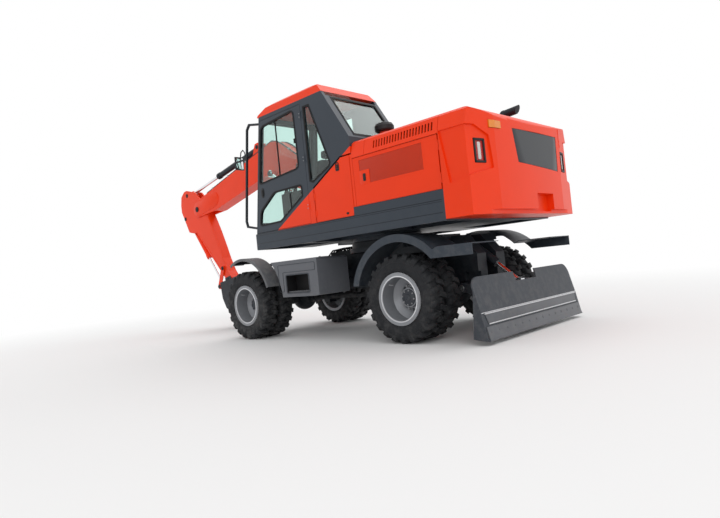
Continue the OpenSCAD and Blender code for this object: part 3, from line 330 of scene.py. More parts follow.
class Look(Enum):
    """The finishes of the machine."""

    PAINT = Finish("orange_paint", "paint", (0.86, 0.040, 0.001), 0.38, coat=0.04, mottle=0.05,
                   grain_scale=90, grain_height=0.00012, dust=0.12, dust_top=1.7, wear=0.25,
                   bare=(0.50, 0.12, 0.05))
    SLATE = Finish("slate_paint", "slate", (0.034, 0.044, 0.058), 0.42, coat=0.05, mottle=0.08,
                   grain_scale=120, grain_height=0.00015, dust=0.25, dust_top=1.6, wear=0.3,
                   bare=(0.14, 0.15, 0.17))
    CAB = Finish("slate_paint_with_orange_corner", "slate", (0.034, 0.044, 0.058), 0.40, coat=0.1,
                 mottle=0.07, grain_scale=120, grain_height=0.00015, wear=0.3, bare=(0.14, 0.15, 0.17),
                 below=(0.86, 0.040, 0.001), split=(0.4741, 0.8805, 0.945))
    BLACK = Finish("black_paint", "black_paint", (0.013, 0.017, 0.023), 0.46, mottle=0.2, grain_scale=80,
                   grain_height=0.0003, dust=0.16, dust_top=1.3, wear=0.3, bare=(0.08, 0.085, 0.09))
    GREY = Finish("grey_paint", "grey_paint", (0.044, 0.050, 0.061), 0.42, mottle=0.10, grain_scale=90,
                  grain_height=0.0002, dust=0.25, dust_top=1.25, wear=0.4, bare=(0.22, 0.23, 0.24))
    BOX = Finish("box_paint", "grey_paint", (0.125, 0.132, 0.148), 0.46, mottle=0.08, grain_scale=90,
                 grain_height=0.0002, dust=0.3, dust_top=1.25, wear=0.6, bare=(0.30, 0.31, 0.33))
    GUARD = Finish("dusty_guard_paint", "black_paint", (0.120, 0.125, 0.135), 0.55, mottle=0.12,
                   grain_scale=70, grain_height=0.0005, dust=0.85, dust_top=4.5, wear=0.4,
                   bare=(0.25, 0.26, 0.27))
    WORN = Finish("worn_blade_steel", "grey_paint", (0.125, 0.13, 0.142), 0.42, metallic=0.25, mottle=0.18,
                  grain_scale=40, grain_height=0.0003, dust=0.35, dust_top=0.6, wear=0.5,
                  bare=(0.45, 0.44, 0.43))
    CAST = Finish("cast_iron", "cast", (0.018, 0.019, 0.022), 0.62, mottle=0.3, grain_scale=220,
                  grain_height=0.0008, dust=0.3)
    RIM = Finish("silver_rim_paint", "rim_paint", (0.27, 0.28, 0.30), 0.40, metallic=0.40, grain_scale=150,
                 grain_height=0.0001, dust=0.35, dust_top=1.0, wear=0.3, bare=(0.30, 0.28, 0.26))
    FLANGE = Finish("bright_rim_edge", "rim_paint", (0.66, 0.67, 0.69), 0.32, metallic=0.5, mottle=0.08,
                    grain_scale=150, grain_height=0.0001, dust=0.15, dust_top=1.0)
    CHROME = Finish("hard_chrome", "rod", (0.78, 0.79, 0.81), 0.10, metallic=1.0, mottle=0.02)
    STEEL = Finish("plain_steel", "rod", (0.36, 0.36, 0.37), 0.36, metallic=0.85, mottle=0.12,
                   grain_scale=180, grain_height=0.0002)
    FRONT_TYRE = Finish("front_tyre_rubber", "tyre", (0.0125, 0.0135, 0.016), 0.72, mottle=0.12,
                        grain_scale=140, grain_height=0.0006, dust=0.30, dust_top=1.15, rings=2900.0)
    REAR_TYRE = replace(FRONT_TYRE, name="rear_tyre_rubber", dust=0.16, rings=0.0)
    RUBBER = Finish("seal_rubber", "plastic", (0.010, 0.010, 0.011), 0.62, mottle=0.15, grain_scale=200,
                    grain_height=0.0003)
    PLASTIC = Finish("black_plastic", "plastic", (0.016, 0.016, 0.017), 0.50, mottle=0.12, grain_scale=420,
                     grain_height=0.0005)
    CLEANER = Finish("pre_cleaner", "plastic", (0.012, 0.012, 0.013), 0.42, mottle=0.12, grain_scale=300,
                     grain_height=0.0003, below=(0.55, 0.045, 0.010), split=(0.0, 1.0, 2.478))
    PANEL = Finish("dark_panel", "slate", (0.024, 0.027, 0.032), 0.38, coat=0.2, grain_scale=200,
                   grain_height=0.0001)
    MESH = Finish("perforated_sheet", "paint", (0.70, 0.036, 0.003), 0.42, mottle=0.05, holes=0.011)
    LENS = Finish("lamp_lens", "lamp", (0.80, 0.24, 0.01), 0.10, coat=0.6, mottle=0.03,
                  below=(0.42, 0.010, 0.008), split=(0.0, 1.0, 2.11), ribs=90.0)
    CLEAR = Finish("clear_lens", "lamp", (0.62, 0.60, 0.58), 0.12, coat=0.6, mottle=0.03, ribs=120.0)
    MIRROR = Finish("mirror_glass", "rod", (0.80, 0.82, 0.84), 0.03, metallic=1.0, mottle=0.0)
    CLOTH = Finish("seat_cloth", "fabric", (0.030, 0.031, 0.036), 0.92, mottle=0.15, weave=420.0)


def add_node(tree: Tree, kind: str, **values: object) -> bpy.types.Node:
    """Adds a shader node to a tree and sets its properties."""
    made = tree.nodes.new("ShaderNode" + kind)
    for key, value in values.items():
        setattr(made, key, value)
    return made


def feed(tree: Tree, value: object, socket: Socket) -> None:
    """Links a socket, or sets a number or colour."""
    if isinstance(value, Socket):
        tree.links.new(value, socket)
    else:
        socket.default_value = (*value, 1.0) if isinstance(value, tuple) else value


def new_material(name: str, **values: object) -> bpy.types.Material:
    """Makes a material and sets its shader's sockets, written with _ for a space."""
    material = bpy.data.materials.new(name)
    material.use_nodes = True
    sockets = material.node_tree.nodes["Principled BSDF"].inputs
    for key, value in values.items():
        feed(material.node_tree, value, sockets[key.replace("_", " ")])
    return material


class Group:
    """A shader node group with named sockets."""

    def __init__(self, name: str, outputs: tuple[str, ...], **inputs: object) -> None:
        """Makes the group and its sockets.

        Args:
            name: The group's name.
            outputs: Names of the outputs; one called Colour is a colour.
            **inputs: Socket names, with _ for a space, and start values; a tuple makes a colour.
        """
        self.tree = bpy.data.node_groups.new(name, "ShaderNodeTree")
        for key, value in inputs.items():
            kind = "NodeSocketColor" if isinstance(value, tuple) else "NodeSocketFloat"
            socket = self.tree.interface.new_socket(name=key.replace("_", " "), in_out="INPUT",
                                                    socket_type=kind)
            socket.default_value = (*value, 1.0) if isinstance(value, tuple) else value
        for key in outputs:
            kind = "NodeSocketColor" if key == "Colour" else "NodeSocketFloat"
            self.tree.interface.new_socket(name=key, in_out="OUTPUT", socket_type=kind)
        self.entry = self.tree.nodes.new("NodeGroupInput").outputs
        self.exit = self.tree.nodes.new("NodeGroupOutput").inputs

    def node(self, kind: str, fed: dict[object, object] | None = None, **values: object) -> bpy.types.Node:
        """Adds a node, feeds its sockets and sets its properties."""
        made = add_node(self.tree, kind, **values)
        for key, value in (fed or {}).items():
            feed(self.tree, value, made.inputs[key])
        return made

    def end(self, **values: object) -> "Group":
        """Feeds the group's outputs and gives the group."""
        for key, value in values.items():
            feed(self.tree, value, self.exit[key])
        return self

    def math(self, operation: str, a: object, b: object = 0.0, clamp: bool = False) -> Socket:
        """Adds a Math node fed by sockets or numbers and gives its output."""
        return self.node("Math", {0: a, 1: b}, operation=operation, use_clamp=clamp).outputs[0]

    def mul(self, a: object, b: object, clamp: bool = False) -> Socket:
        """Multiplies two values."""
        return self.math("MULTIPLY", a, b, clamp)

    def sum(self, a: object, b: object, clamp: bool = False) -> Socket:
        """Adds two values."""
        return self.math("ADD", a, b, clamp)

    def less(self, a: object, b: object) -> Socket:
        """Takes the second value from the first."""
        return self.math("SUBTRACT", a, b)

    def root(self, a: object, b: object) -> Socket:
        """Gives the length of a step from its two parts."""
        return self.math("SQRT", self.sum(self.mul(a, a), self.mul(b, b)))

    def place(self) -> Socket:
        """Gives the object's own coordinates."""
        return self.node("TexCoord").outputs["Object"]

    def axes(self, vector: object = None) -> list[Socket]:
        """Gives the X, Y and Z of a vector, or of the object's own coordinates."""
        return list(self.node("SeparateXYZ", {0: vector or self.place()}).outputs)

    def normal(self) -> Socket:
        """Gives the surface's normal."""
        return self.node("NewGeometry").outputs["Normal"]

    def noise(self, scale: object, detail: float = 3.0, rough: float = 0.55) -> Socket:
        """Adds a noise on the object's own coordinates and gives its value."""
        fed = {"Vector": self.place(), "Scale": scale, "Detail": detail, "Roughness": rough}
        return self.node("TexNoise", fed).outputs["Fac"]

    def ramp(self, value: object, low: object, high: object) -> Socket:
        """Maps a value smoothly from a range to 0 to 1."""
        fed = {"Value": value, "From Min": low, "From Max": high}
        return self.node("MapRange", fed, interpolation_type="SMOOTHSTEP").outputs["Result"]

    def blend(self, mask: object, a: object, b: object, mode: str = "MIX") -> Socket:
        """Mixes two colours by a mask and gives the result."""
        return self.node("Mix", {0: mask, 6: a, 7: b}, data_type="RGBA", blend_type=mode).outputs[2]


class PaintShop:
    """Builds the shader groups once and mixes each finish from them."""

    bumps: dict[str, float] = {"weave": 0.0006, "rings": 0.003, "ribs": 0.003}
    # Colour of the holes in perforated sheets: painted shade of the dark space behind them.
    hole_shade: Colour = (0.012, 0.010, 0.010)
    thread_shine: float = 2.2
    dust_rough: float = 0.45
    roughest: float = 0.95

    def __init__(self) -> None:
        """Builds the groups."""
        self.made: dict[str, bpy.types.Material] = {}
        effects = (self.mottle, self.dust, self.wear, self.grain, self.split, self.rings, self.holes,
                   self.weave, self.ribs)
        self.groups = {effect.__name__: effect() for effect in effects}

    def mottle(self) -> Group:
        """Varies a colour softly, as paint and rubber do over large faces."""
        g = Group("colour_mottle", ("Colour",), Colour=(0.5, 0.5, 0.5), Amount=0.1, Scale=2.5)
        value = g.less(g.noise(g.entry["Scale"], 4.0), 0.5)
        lift = g.sum(g.mul(g.mul(value, g.entry["Amount"]), 2.4), 1.0)
        grey = g.node("CombineColor", {0: lift, 1: lift, 2: lift}).outputs[0]
        return g.end(Colour=g.blend(1.0, g.entry["Colour"], grey, "MULTIPLY"))

    def dust(self) -> Group:
        """Settles dust and dried mud on low and level places."""
        g = Group("settled_dust", ("Colour", "Mask"), Colour=(0.5, 0.5, 0.5), Dust=(0.22, 0.215, 0.21),
                  Amount=0.3, Top=1.2, Scale=13.0)
        low = g.less(1.0, g.ramp(g.axes()[2], g.mul(g.entry["Top"], 0.25), g.entry["Top"]))
        level = g.ramp(g.axes(g.normal())[2], 0.5, 1.0)
        patches = g.ramp(g.noise(g.entry["Scale"], 6.0, 0.65), 0.40, 0.68)
        specks = g.ramp(g.noise(g.mul(g.entry["Scale"], 9.0), 3.0), 0.50, 0.75)
        spread = g.sum(g.mul(patches, 0.75), g.mul(specks, 0.35), True)
        where = g.sum(low, g.mul(level, 0.35), True)
        mask = g.mul(g.mul(spread, where), g.entry["Amount"], True)
        return g.end(Mask=mask, Colour=g.blend(mask, g.entry["Colour"], g.entry["Dust"]))

    def wear(self) -> Group:
        """Rubs the edges down to another colour."""
        g = Group("rubbed_edges", ("Colour", "Mask"), Colour=(0.5, 0.5, 0.5), Bare=(0.3, 0.3, 0.3),
                  Amount=0.3, Width=0.004)
        bevel = g.node("Bevel", {"Radius": g.entry["Width"]}, samples=4).outputs[0]
        dot = g.node("VectorMath", {0: bevel, 1: g.normal()}, operation="DOT_PRODUCT").outputs["Value"]
        edge = g.ramp(g.less(1.0, dot), 0.02, 0.22)
        broken = g.ramp(g.noise(28.0, 5.0, 0.7), 0.42, 0.62)
        mask = g.mul(g.mul(edge, broken), g.entry["Amount"], True)
        return g.end(Mask=mask, Colour=g.blend(mask, g.entry["Colour"], g.entry["Bare"]))

    def grain(self) -> Group:
        """Gives the height of a fine grain over a soft waviness."""
        g = Group("surface_grain", ("Height",), Scale=100.0)
        fine = g.noise(g.entry["Scale"], 4.0, 0.6)
        wavy = g.noise(g.mul(g.entry["Scale"], 0.06), 2.0)
        return g.end(Height=g.sum(g.mul(fine, 0.6), g.mul(wavy, 0.4)))

    def split(self) -> Group:
        """Marks what lies under a slanting line in the side plane."""
        g = Group("under_a_line", ("Mask",), Slope_X=0.0, Slope_Z=1.0, Limit=1.0)
        x, _, z = g.axes()
        total = g.sum(g.mul(x, g.entry["Slope X"]), g.mul(z, g.entry["Slope Z"]))
        return g.end(Mask=g.math("LESS_THAN", total, g.entry["Limit"]))

    def rings(self) -> Group:
        """Gives the moulded rings of a tyre's side wall."""
        g = Group("side_wall_rings", ("Height",), Middle_X=0.0, Middle_Z=0.49)
        x, _, z = g.axes()
        radius = g.root(g.less(x, g.entry["Middle X"]), g.less(z, g.entry["Middle Z"]))
        total: object = 0.0
        for middle, half in ((0.312, 0.005), (0.330, 0.003), (0.398, 0.006), (0.428, 0.003)):
            away = g.math("ABSOLUTE", g.less(radius, middle))
            total = g.math("MAXIMUM", total, g.less(1.0, g.ramp(away, half * 0.5, half)))
        return g.end(Height=total)

    def holes(self) -> Group:
        """Marks staggered round holes in a sheet that stands along the machine."""
        g = Group("round_holes", ("Mask",), Pitch=0.011)
        x, _, z = g.axes()
        row = g.math("DIVIDE", z, g.mul(g.entry["Pitch"], 0.866))
        shift = g.mul(g.math("MODULO", g.math("FLOOR", row), 2.0), 0.5)
        across = g.sum(g.math("DIVIDE", x, g.entry["Pitch"]), shift)
        u = g.less(g.math("FRACT", across), 0.5)
        v = g.mul(g.less(g.math("FRACT", row), 0.5), 0.866)
        return g.end(Mask=g.less(1.0, g.ramp(g.root(u, v), 0.24, 0.31)))

    def weave(self) -> Group:
        """Gives the threads of a woven cloth as a shade and a height."""
        g = Group("woven_cloth", ("Shade", "Height"), Threads=400.0)
        x, y, z = g.axes()
        turns = g.mul(g.entry["Threads"], 6.283)
        waves = [g.math("SINE", g.mul(g.sum(across, g.mul(z, 0.7)), turns)) for across in (x, y)]
        height = g.sum(g.mul(g.mul(*waves), 0.5), 0.5)
        return g.end(Height=height, Shade=g.sum(g.mul(height, 0.3), g.mul(g.noise(30.0, 4.0), 0.7)))

    def ribs(self) -> Group:
        """Gives the height of the prisms moulded in a lamp's lens."""
        g = Group("lens_ribs", ("Height",), Count=90.0)
        return g.end(Height=g.math("PINGPONG", g.mul(g.axes()[2], g.entry["Count"]), 0.5))

    def get(self, look: Look) -> bpy.types.Material:
        """Gives the material of a finish, mixed on its first use."""
        finish = look.value
        if finish.name not in self.made:
            self.made[finish.name] = self.mix(finish)
        return self.made[finish.name]

    def use(self, tree: Tree, key: str, **values: object) -> bpy.types.Node:
        """Places a group in a material.

        Args:
            tree: The material's tree.
            key: The group's short name.
            **values: Socket names, with _ for a space, and their sockets or values.

        Returns:
            The group node.
        """
        made = add_node(tree, "Group", node_tree=self.groups[key].tree)
        for name, value in values.items():
            feed(tree, value, made.inputs[name.replace("_", " ")])
        return made

    def mix(self, finish: Finish) -> bpy.types.Material:
        """Mixes a finish.

        Args:
            finish: What the surface is made of.

        Returns:
            The new material.
        """
        material = new_material(finish.name, Roughness=finish.roughness, Metallic=finish.metallic,
                                Coat_Weight=finish.coat, Coat_Roughness=0.12, Specular_IOR_Level=0.26)
        tree = material.node_tree
        inputs = tree.nodes["Principled BSDF"].inputs
        colour: object = finish.colour
        if finish.below:
            slope_x, slope_z, limit = finish.split
            mask = self.use(tree, "split", Slope_X=slope_x, Slope_Z=slope_z, Limit=limit)
            colour = self.tint(tree, mask.outputs["Mask"], finish.colour, finish.below)
        if finish.holes:
            mask = self.use(tree, "holes", Pitch=finish.holes)
            # The holes are painted near-black, the painted shade seen through them.
            colour = self.tint(tree, mask.outputs["Mask"], finish.colour, self.hole_shade)
        if finish.weave:
            cloth = self.use(tree, "weave", Threads=finish.weave)
            lighter = tuple(min(1.0, c * self.thread_shine) for c in finish.colour)
            colour = self.tint(tree, cloth.outputs["Shade"], finish.colour, lighter)
            self.bump(tree, cloth, self.bumps["weave"])
        if finish.mottle:
            colour = self.use(tree, "mottle", Colour=colour, Amount=finish.mottle).outputs["Colour"]
        if finish.wear:
            worn = self.use(tree, "wear", Colour=colour, Bare=finish.bare, Amount=finish.wear)
            colour = worn.outputs["Colour"]
        if finish.dust:
            dusty = self.use(tree, "dust", Colour=colour, Amount=finish.dust, Top=finish.dust_top)
            colour = dusty.outputs["Colour"]
            rough = add_node(tree, "MapRange")
            for key, value in (("To Min", finish.roughness), ("Value", dusty.outputs["Mask"]),
                               ("To Max", min(self.roughest, finish.roughness + self.dust_rough))):
                feed(tree, value, rough.inputs[key])
            feed(tree, rough.outputs["Result"], inputs["Roughness"])
        feed(tree, colour, inputs["Base Color"])
        if finish.grain_height:
            self.bump(tree, self.use(tree, "grain", Scale=finish.grain_scale), finish.grain_height)
        if finish.rings is not None:
            rings = self.use(tree, "rings", Middle_X=(finish.rings - MIDDLE_X) / 1000)
            self.bump(tree, rings, self.bumps["rings"])
        if finish.ribs:
            self.bump(tree, self.use(tree, "ribs", Count=finish.ribs), self.bumps["ribs"])
        return material

    def tint(self, tree: Tree, mask: Socket, a: Colour,
             b: Colour) -> Socket:
        """Mixes two plain colours by a mask and gives the result."""
        made = add_node(tree, "Mix", data_type="RGBA")
        for key, value in ((0, mask), (6, a), (7, b)):
            feed(tree, value, made.inputs[key])
        return made.outputs[2]

    def bump(self, tree: Tree, source: bpy.types.Node, distance: float) -> None:
        """Adds a Bump node for a group's height, after any that the shader has already."""
        target = tree.nodes["Principled BSDF"].inputs["Normal"]
        made = add_node(tree, "Bump")
        made.inputs["Distance"].default_value = distance
        if target.is_linked:
            tree.links.new(target.links[0].from_socket, made.inputs["Normal"])
        tree.links.new(source.outputs["Height"], made.inputs["Height"])
        tree.links.new(made.outputs["Normal"], target)

    def glazing(self) -> bpy.types.Material:
        """Gives the clear glass with a pale green tint."""
        if "window_glass" not in self.made:
            self.made["window_glass"] = new_material("window_glass", Base_Color=(0.74, 0.90, 0.86),
                                                     Roughness=0.02, IOR=1.45, Transmission_Weight=1.0)
        return self.made["window_glass"]


SLOT_LOOKS: dict[str, Look] = {
    "paint": Look.PAINT, "slate": Look.SLATE, "black_paint": Look.BLACK, "grey_paint": Look.GREY,
    "rim_paint": Look.RIM, "rod": Look.CHROME, "lamp": Look.LENS, "plastic": Look.PLASTIC,
    "fabric": Look.CLOTH, "cast": Look.CAST, "tyre": Look.REAR_TYRE}

NODE_LOOKS: dict[str, Look] = {
    "side_boxes": Look.BOX, "rear_guards": Look.SLATE, "front_guard_left": Look.GUARD,
    "front_guard_right": Look.GUARD, "cab_shell": Look.CAB, "cab_door": Look.CAB, "precleaner": Look.CLEANER}


@dataclass
class Assembly:
    """A group of pieces finished by one paint shop."""

    shop: PaintShop

    def add(self, form: Form, name: str, look: Look, body: str, sharp: float = 32.0) -> bpy.types.Object:
        """Ends a form and makes it a piece of the machine.

        Args:
            form: The form, which can't be built on afterwards.
            name: The piece's name.
            look: Its finish.
            body: The body that it moves with.
            sharp: Edges over this angle stay sharp.

        Returns:
            The new object.
        """
        bmesh.ops.recalc_face_normals(form.mesh, faces=form.mesh.faces)
        data = bpy.data.meshes.new(name)
        form.mesh.to_mesh(data)
        form.mesh.free()
        data.shade_smooth()
        data.set_sharp_from_angle(angle=math.radians(sharp))
        data.materials.append(self.shop.get(look))
        obj = stand(data)
        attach(obj, body)
        LOG.info("piece %s on %s: %d faces", name, body, len(data.polygons))
        return obj


@dataclass
class Wheels(Assembly):
    """Hub covers, nuts and lock rings of the four twin wheels."""

    disc_y: float = 872.0
    hub_y: float = 940.0
    flange_y: float = 1100.0
    nut_circle: float = 138.0
    bolt_circle: float = 78.0
    count: int = 8

    def around(self, x: float, y: float, radius: float, start: float) -> list[Place]:
        """Gives the places of a ring of bolts about a wheel's middle."""
        ring = [polar((x, AXLE_Z), radius, start + 360 * i / self.count) for i in range(self.count)]
        return [(px, y, pz) for px, pz in ring]

    def build(self) -> None:
        """Builds the pieces of every wheel."""
        for name, (x, side) in WHEELS.items():
            body = f"wheel_{name}"
            cover = Form().lathe([(0, 24), (34, 24), (41, 17), (62, 15), (90, 7), (97, -2), (0, -2)],
                                 (x, side * self.hub_y, AXLE_Z), Axis.Y, side, 48)
            self.add(cover, f"hub_cover_{name}", Look.GREY, body)
            nuts = Form().bolts(self.around(x, side * (self.hub_y + 7), self.bolt_circle, 10), Axis.Y,
                                8, 9, side)
            nuts.bolts(self.around(x, side * self.disc_y, self.nut_circle, 22.5), Axis.Y, 15, 22, side)
            self.add(nuts, f"nuts_{name}", Look.STEEL, body)
            ring = Form().lathe([(246, -4), (289, -4), (291, 3), (287, 8), (262, 9), (250, 14), (242, 13),
                                 (240, 4)], (x, side * self.flange_y, AXLE_Z), Axis.Y, side, 96)
            stem = ((150, 1010), (152, 1040), (160, 1065))
            ring.tube([at(x + out, side * y, AXLE_Z + out) for out, y in stem], 5, 8)
            self.add(ring, f"lock_ring_{name}", Look.FLANGE, body)


@dataclass
class Tyres(Assembly):
    """The eight lugged tyres, each twin pair in place of its plain solid."""

    lugs: int = 22
    lean: float = 4.5
    steps: int = 132
    middles: tuple[float, float] = (1000.0, 720.0)
    casing: tuple[Point, ...] = (
        (78, 256), (92, 284), (106, 300), (115, 330), (119, 372), (118, 408), (112, 436), (98, 452),
        (60, 461), (20, 463))
    lug: tuple[tuple[Point, Point, float], ...] = (
        ((-9, 488), (-9, 452), 0.0), ((50, 489.5), (50, 452), 0.4), ((96, 486), (92, 446), 0.85),
        ((114, 468), (98, 436), 1.0), ((119.5, 440), (106, 424), 1.0), ((119, 412), (110, 404), 1.0))
    lug_share: float = 0.23
    lug_taper: float = 0.82

    def spot(self, x: float, y: float, radius: float, degrees: float) -> Vector:
        """Gives a place on a tyre from its distance and angle about the axle."""
        px, pz = polar((x, AXLE_Z), radius, degrees)
        return at(px, y, pz)

    def carcass(self, form: Form, x: float, y: float) -> None:
        """Turns the casing of one tyre."""
        outline = [*self.casing, *((-a, b) for a, b in reversed(self.casing))]
        loops = [[self.spot(x, y + a, b, 360 * k / self.steps) for a, b in outline]
                 for k in range(self.steps)]
        form.loft(loops, ring=True)

    def bars(self, form: Form, x: float, y: float, turn: int) -> None:
        """Sets the lugs of one tyre, leaning in opposite ways on its two halves."""
        pitch = 360 / self.lugs
        for side in (1, -1):
            for k in range(self.lugs):
                middle = pitch * (k + (0.25 if side > 0 else 0.75))
                loops = []
                for (ty, tr), (by, br), share in self.lug:
                    a = middle + turn * self.lean * share
                    wide = pitch * (self.lug_share + 0.05 * share)
                    top = wide * self.lug_taper
                    corners = ((ty, tr, -top), (ty, tr, top), (by, br, wide), (by, br, -wide))
                    loops.append([self.spot(x, y + side * across, radius, a + away)
                                  for across, radius, away in corners])
                form.loft(loops, 3.0)

    def build(self) -> None:
        """Builds the four twin pairs."""
        for name, (x, side) in WHEELS.items():
            end, flank = name.split("_")
            look = Look.FRONT_TYRE if end == "front" else Look.REAR_TYRE
            form = Form()
            for middle in self.middles:
                self.carcass(form, x, side * middle)
                self.bars(form, x, side * middle, side)
            piece = self.add(form, f"tyres_{name}", look, f"wheel_{name}", 40)
            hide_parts(f"{end}_tyres_{flank}")


@dataclass
class Undercarriage(Assembly):
    """Steps, lid seams, pin caps, valve block and pipes of the chassis."""

    box_y: float = 1100.0
    recess: tuple[float, float, float, float] = (1470.0, 1920.0, 635.0, 865.0)

    def build(self) -> None:
        """Builds the pieces on the chassis."""
        for side, label in SIDES:
            self.step(side, label)
            caps = Form().lathe([(0, 13), (34, 13), (38, 9), (38, -3), (0, -3)], (-300, side * 345, 520),
                                Axis.Y, side, 32)
            caps.bolts([(-300, side * 357, 520)], Axis.Y, 10, 9, side)
            self.add(caps, f"blade_pin_cap_{label}", Look.STEEL, "blade_body")
        grease = Form()
        for y in (-620, 620):
            grease.lathe([(0, 16), (26, 16), (32, 10), (32, -2), (0, -2)],
                         (WHEELBASE, y, AXLE_Z + 130), Axis.Z, 1, 32)
        self.add(grease, "kingpin_caps", Look.CAST, "chassis")
        self.deck_pipes()

    def step(self, side: int, label: str) -> None:
        """Fits the step's bars, edge, a near-black lining of the recess's walls and back as painted shade,
        and the lid's seam in one side box.
        """
        x0, x1, z0, z1 = self.recess
        step = Form()
        for k in range(4):
            y = side * (965 + 36 * k)
            step.block((x0 + 6, y, z0), (x1 - 6, y + side * 12, z0 + 14), 2)
            for x in (x0 + 18 + i * 31 for i in range(14)):
                step.block((x, y, z0 + 12), (x + 14, y + side * 12, z0 + 19), 1)
        self.add(step, f"step_bars_{label}", Look.WORN, "chassis")
        outline = rounded(rect(x0, z0, x1, z1), 22)
        inside, face = side * (self.box_y - 1), side * self.box_y
        lip = Form().band(outline, 13, -1, inside, face + side * 5)
        self.add(lip, f"step_edge_{label}", Look.GREY, "chassis")
        lid = rounded([(1980, 650), (2080, 650), (2080, 1010), (1330, 1010), (1330, 905), (1980, 905)], 18)
        seam = Form().band(lid, 0, -5, inside, face + side * 3)
        self.add(seam, f"box_seam_{label}", Look.BLACK, "chassis")
        # Near-black sheets over the recess's walls and back: painted shade inside the step.
        recess_shade = Form().band(outline, -1, -4, side * 934, side * 1096)
        recess_shade.prism(grown(outline, -2), Plane.SIDE, side * 933, side * 937)
        self.add(recess_shade, f"step_recess_shade_{label}", Look.RUBBER, "chassis")

    def deck_pipes(self) -> None:
        """Sets the valve block and the rigid pipes on the chassis in front of the slewing ring."""
        block = Form().block((1790, -190, 1000), (1990, 190, 1130), 6)
        for k in range(5):
            block.lathe([(0, 26), (20, 26), (22, 22), (22, -2), (0, -2)], (1890, -150 + k * 75, 1130), Axis.Z,
                        1, 16)
        block.block((2060, -215, 880), (2180, 215, 1010), 6)
        self.add(block, "chassis_valve_block", Look.CAST, "chassis")
        pipes = Form()
        for k in range(6):
            y = -125 + k * 50
            run = ((1700, 1150), (1760, 1186 - k * 3), (2010, 1170 - k * 3), (2060, 1120), (2220, 1000),
                   (2420, 905))
            pipes.tube([at(x, y, z) for x, z in run] + [at(2700, y * 1.6, 893)], 11, 10)
        self.add(pipes, "chassis_pipes", Look.BLACK, "chassis", 50)


@dataclass
class DozerBlade(Assembly):
    """Wear plate, cutting edge, bolts and bright lines on the blade's face, painted highlights along its
    folds and edges.
    """

    half_width: float = 1062.0
    fold: Point = (-993.0, 314.0)
    low_fold: Point = (-1040.0, 80.0)
    edge: Point = (-1055.0, 42.0)

    def face(self, share: float, depth: float, y: float) -> Vector:
        """Gives a place on the face between its two lower folds.

        Args:
            share: 0 at the lower fold and 1 at the upper one.
            depth: How far the place stands proud of the face.
            y: The place across the machine.

        Returns:
            The position in the frame.
        """
        dx, dz = self.fold[0] - self.low_fold[0], self.fold[1] - self.low_fold[1]
        length = math.hypot(dx, dz)
        return at(self.low_fold[0] + dx * share - dz / length * depth, y,
                  self.low_fold[1] + dz * share + dx / length * depth)

    def build(self) -> None:
        """Builds the pieces on the blade."""
        wide, narrow = self.half_width - 28, self.half_width - 62
        corners = ((0.99, wide), (0.99, -wide), (0.52, -narrow), (0.52, narrow))
        plate = Form().loft([[self.face(share, depth, y) for share, y in corners] for depth in (-1, 7)], 1.5)
        self.add(plate, "blade_wear_plate", Look.WORN, "blade_body")
        outline = [self.edge, self.low_fold, (-1020.0, 180.0), (-1032.0, 182.4), (-1052.0, 82.0),
                   (-1065.0, 45.0)]
        edge = Form().prism(outline, Plane.SIDE, -self.half_width, self.half_width, 2)
        self.add(edge, "blade_cutting_edge", Look.WORN, "blade_body")
        # Bright bars along the folds and the wear plate's edges: painted highlights, not worn metal.
        painted_highlights = Form()
        for share, depth, width in ((0.955, 8, wide), (0.53, 6, narrow), (0.05, 1, wide)):
            painted_highlights.tube([self.face(share, depth, width), self.face(share, depth, -width)], 6.5, 8)
        painted_highlights.tube([at(-995, self.half_width + 20, 316), at(-995, -self.half_width - 20, 316)], 5, 8)
        self.add(painted_highlights, "blade_highlight_lines", Look.FLANGE, "blade_body")
        heads, reach, count = Form(), self.half_width - 60, 14
        for i in range(count):
            y = -reach + i * 2 * reach / (count - 1)
            heads.lathe([(0, 4), (13, 4), (16, 1), (16, -3), (0, -3)], (-1042, y, 130), Axis.X, -1, 16)
        self.add(heads, "blade_bolts", Look.WORN, "blade_body")


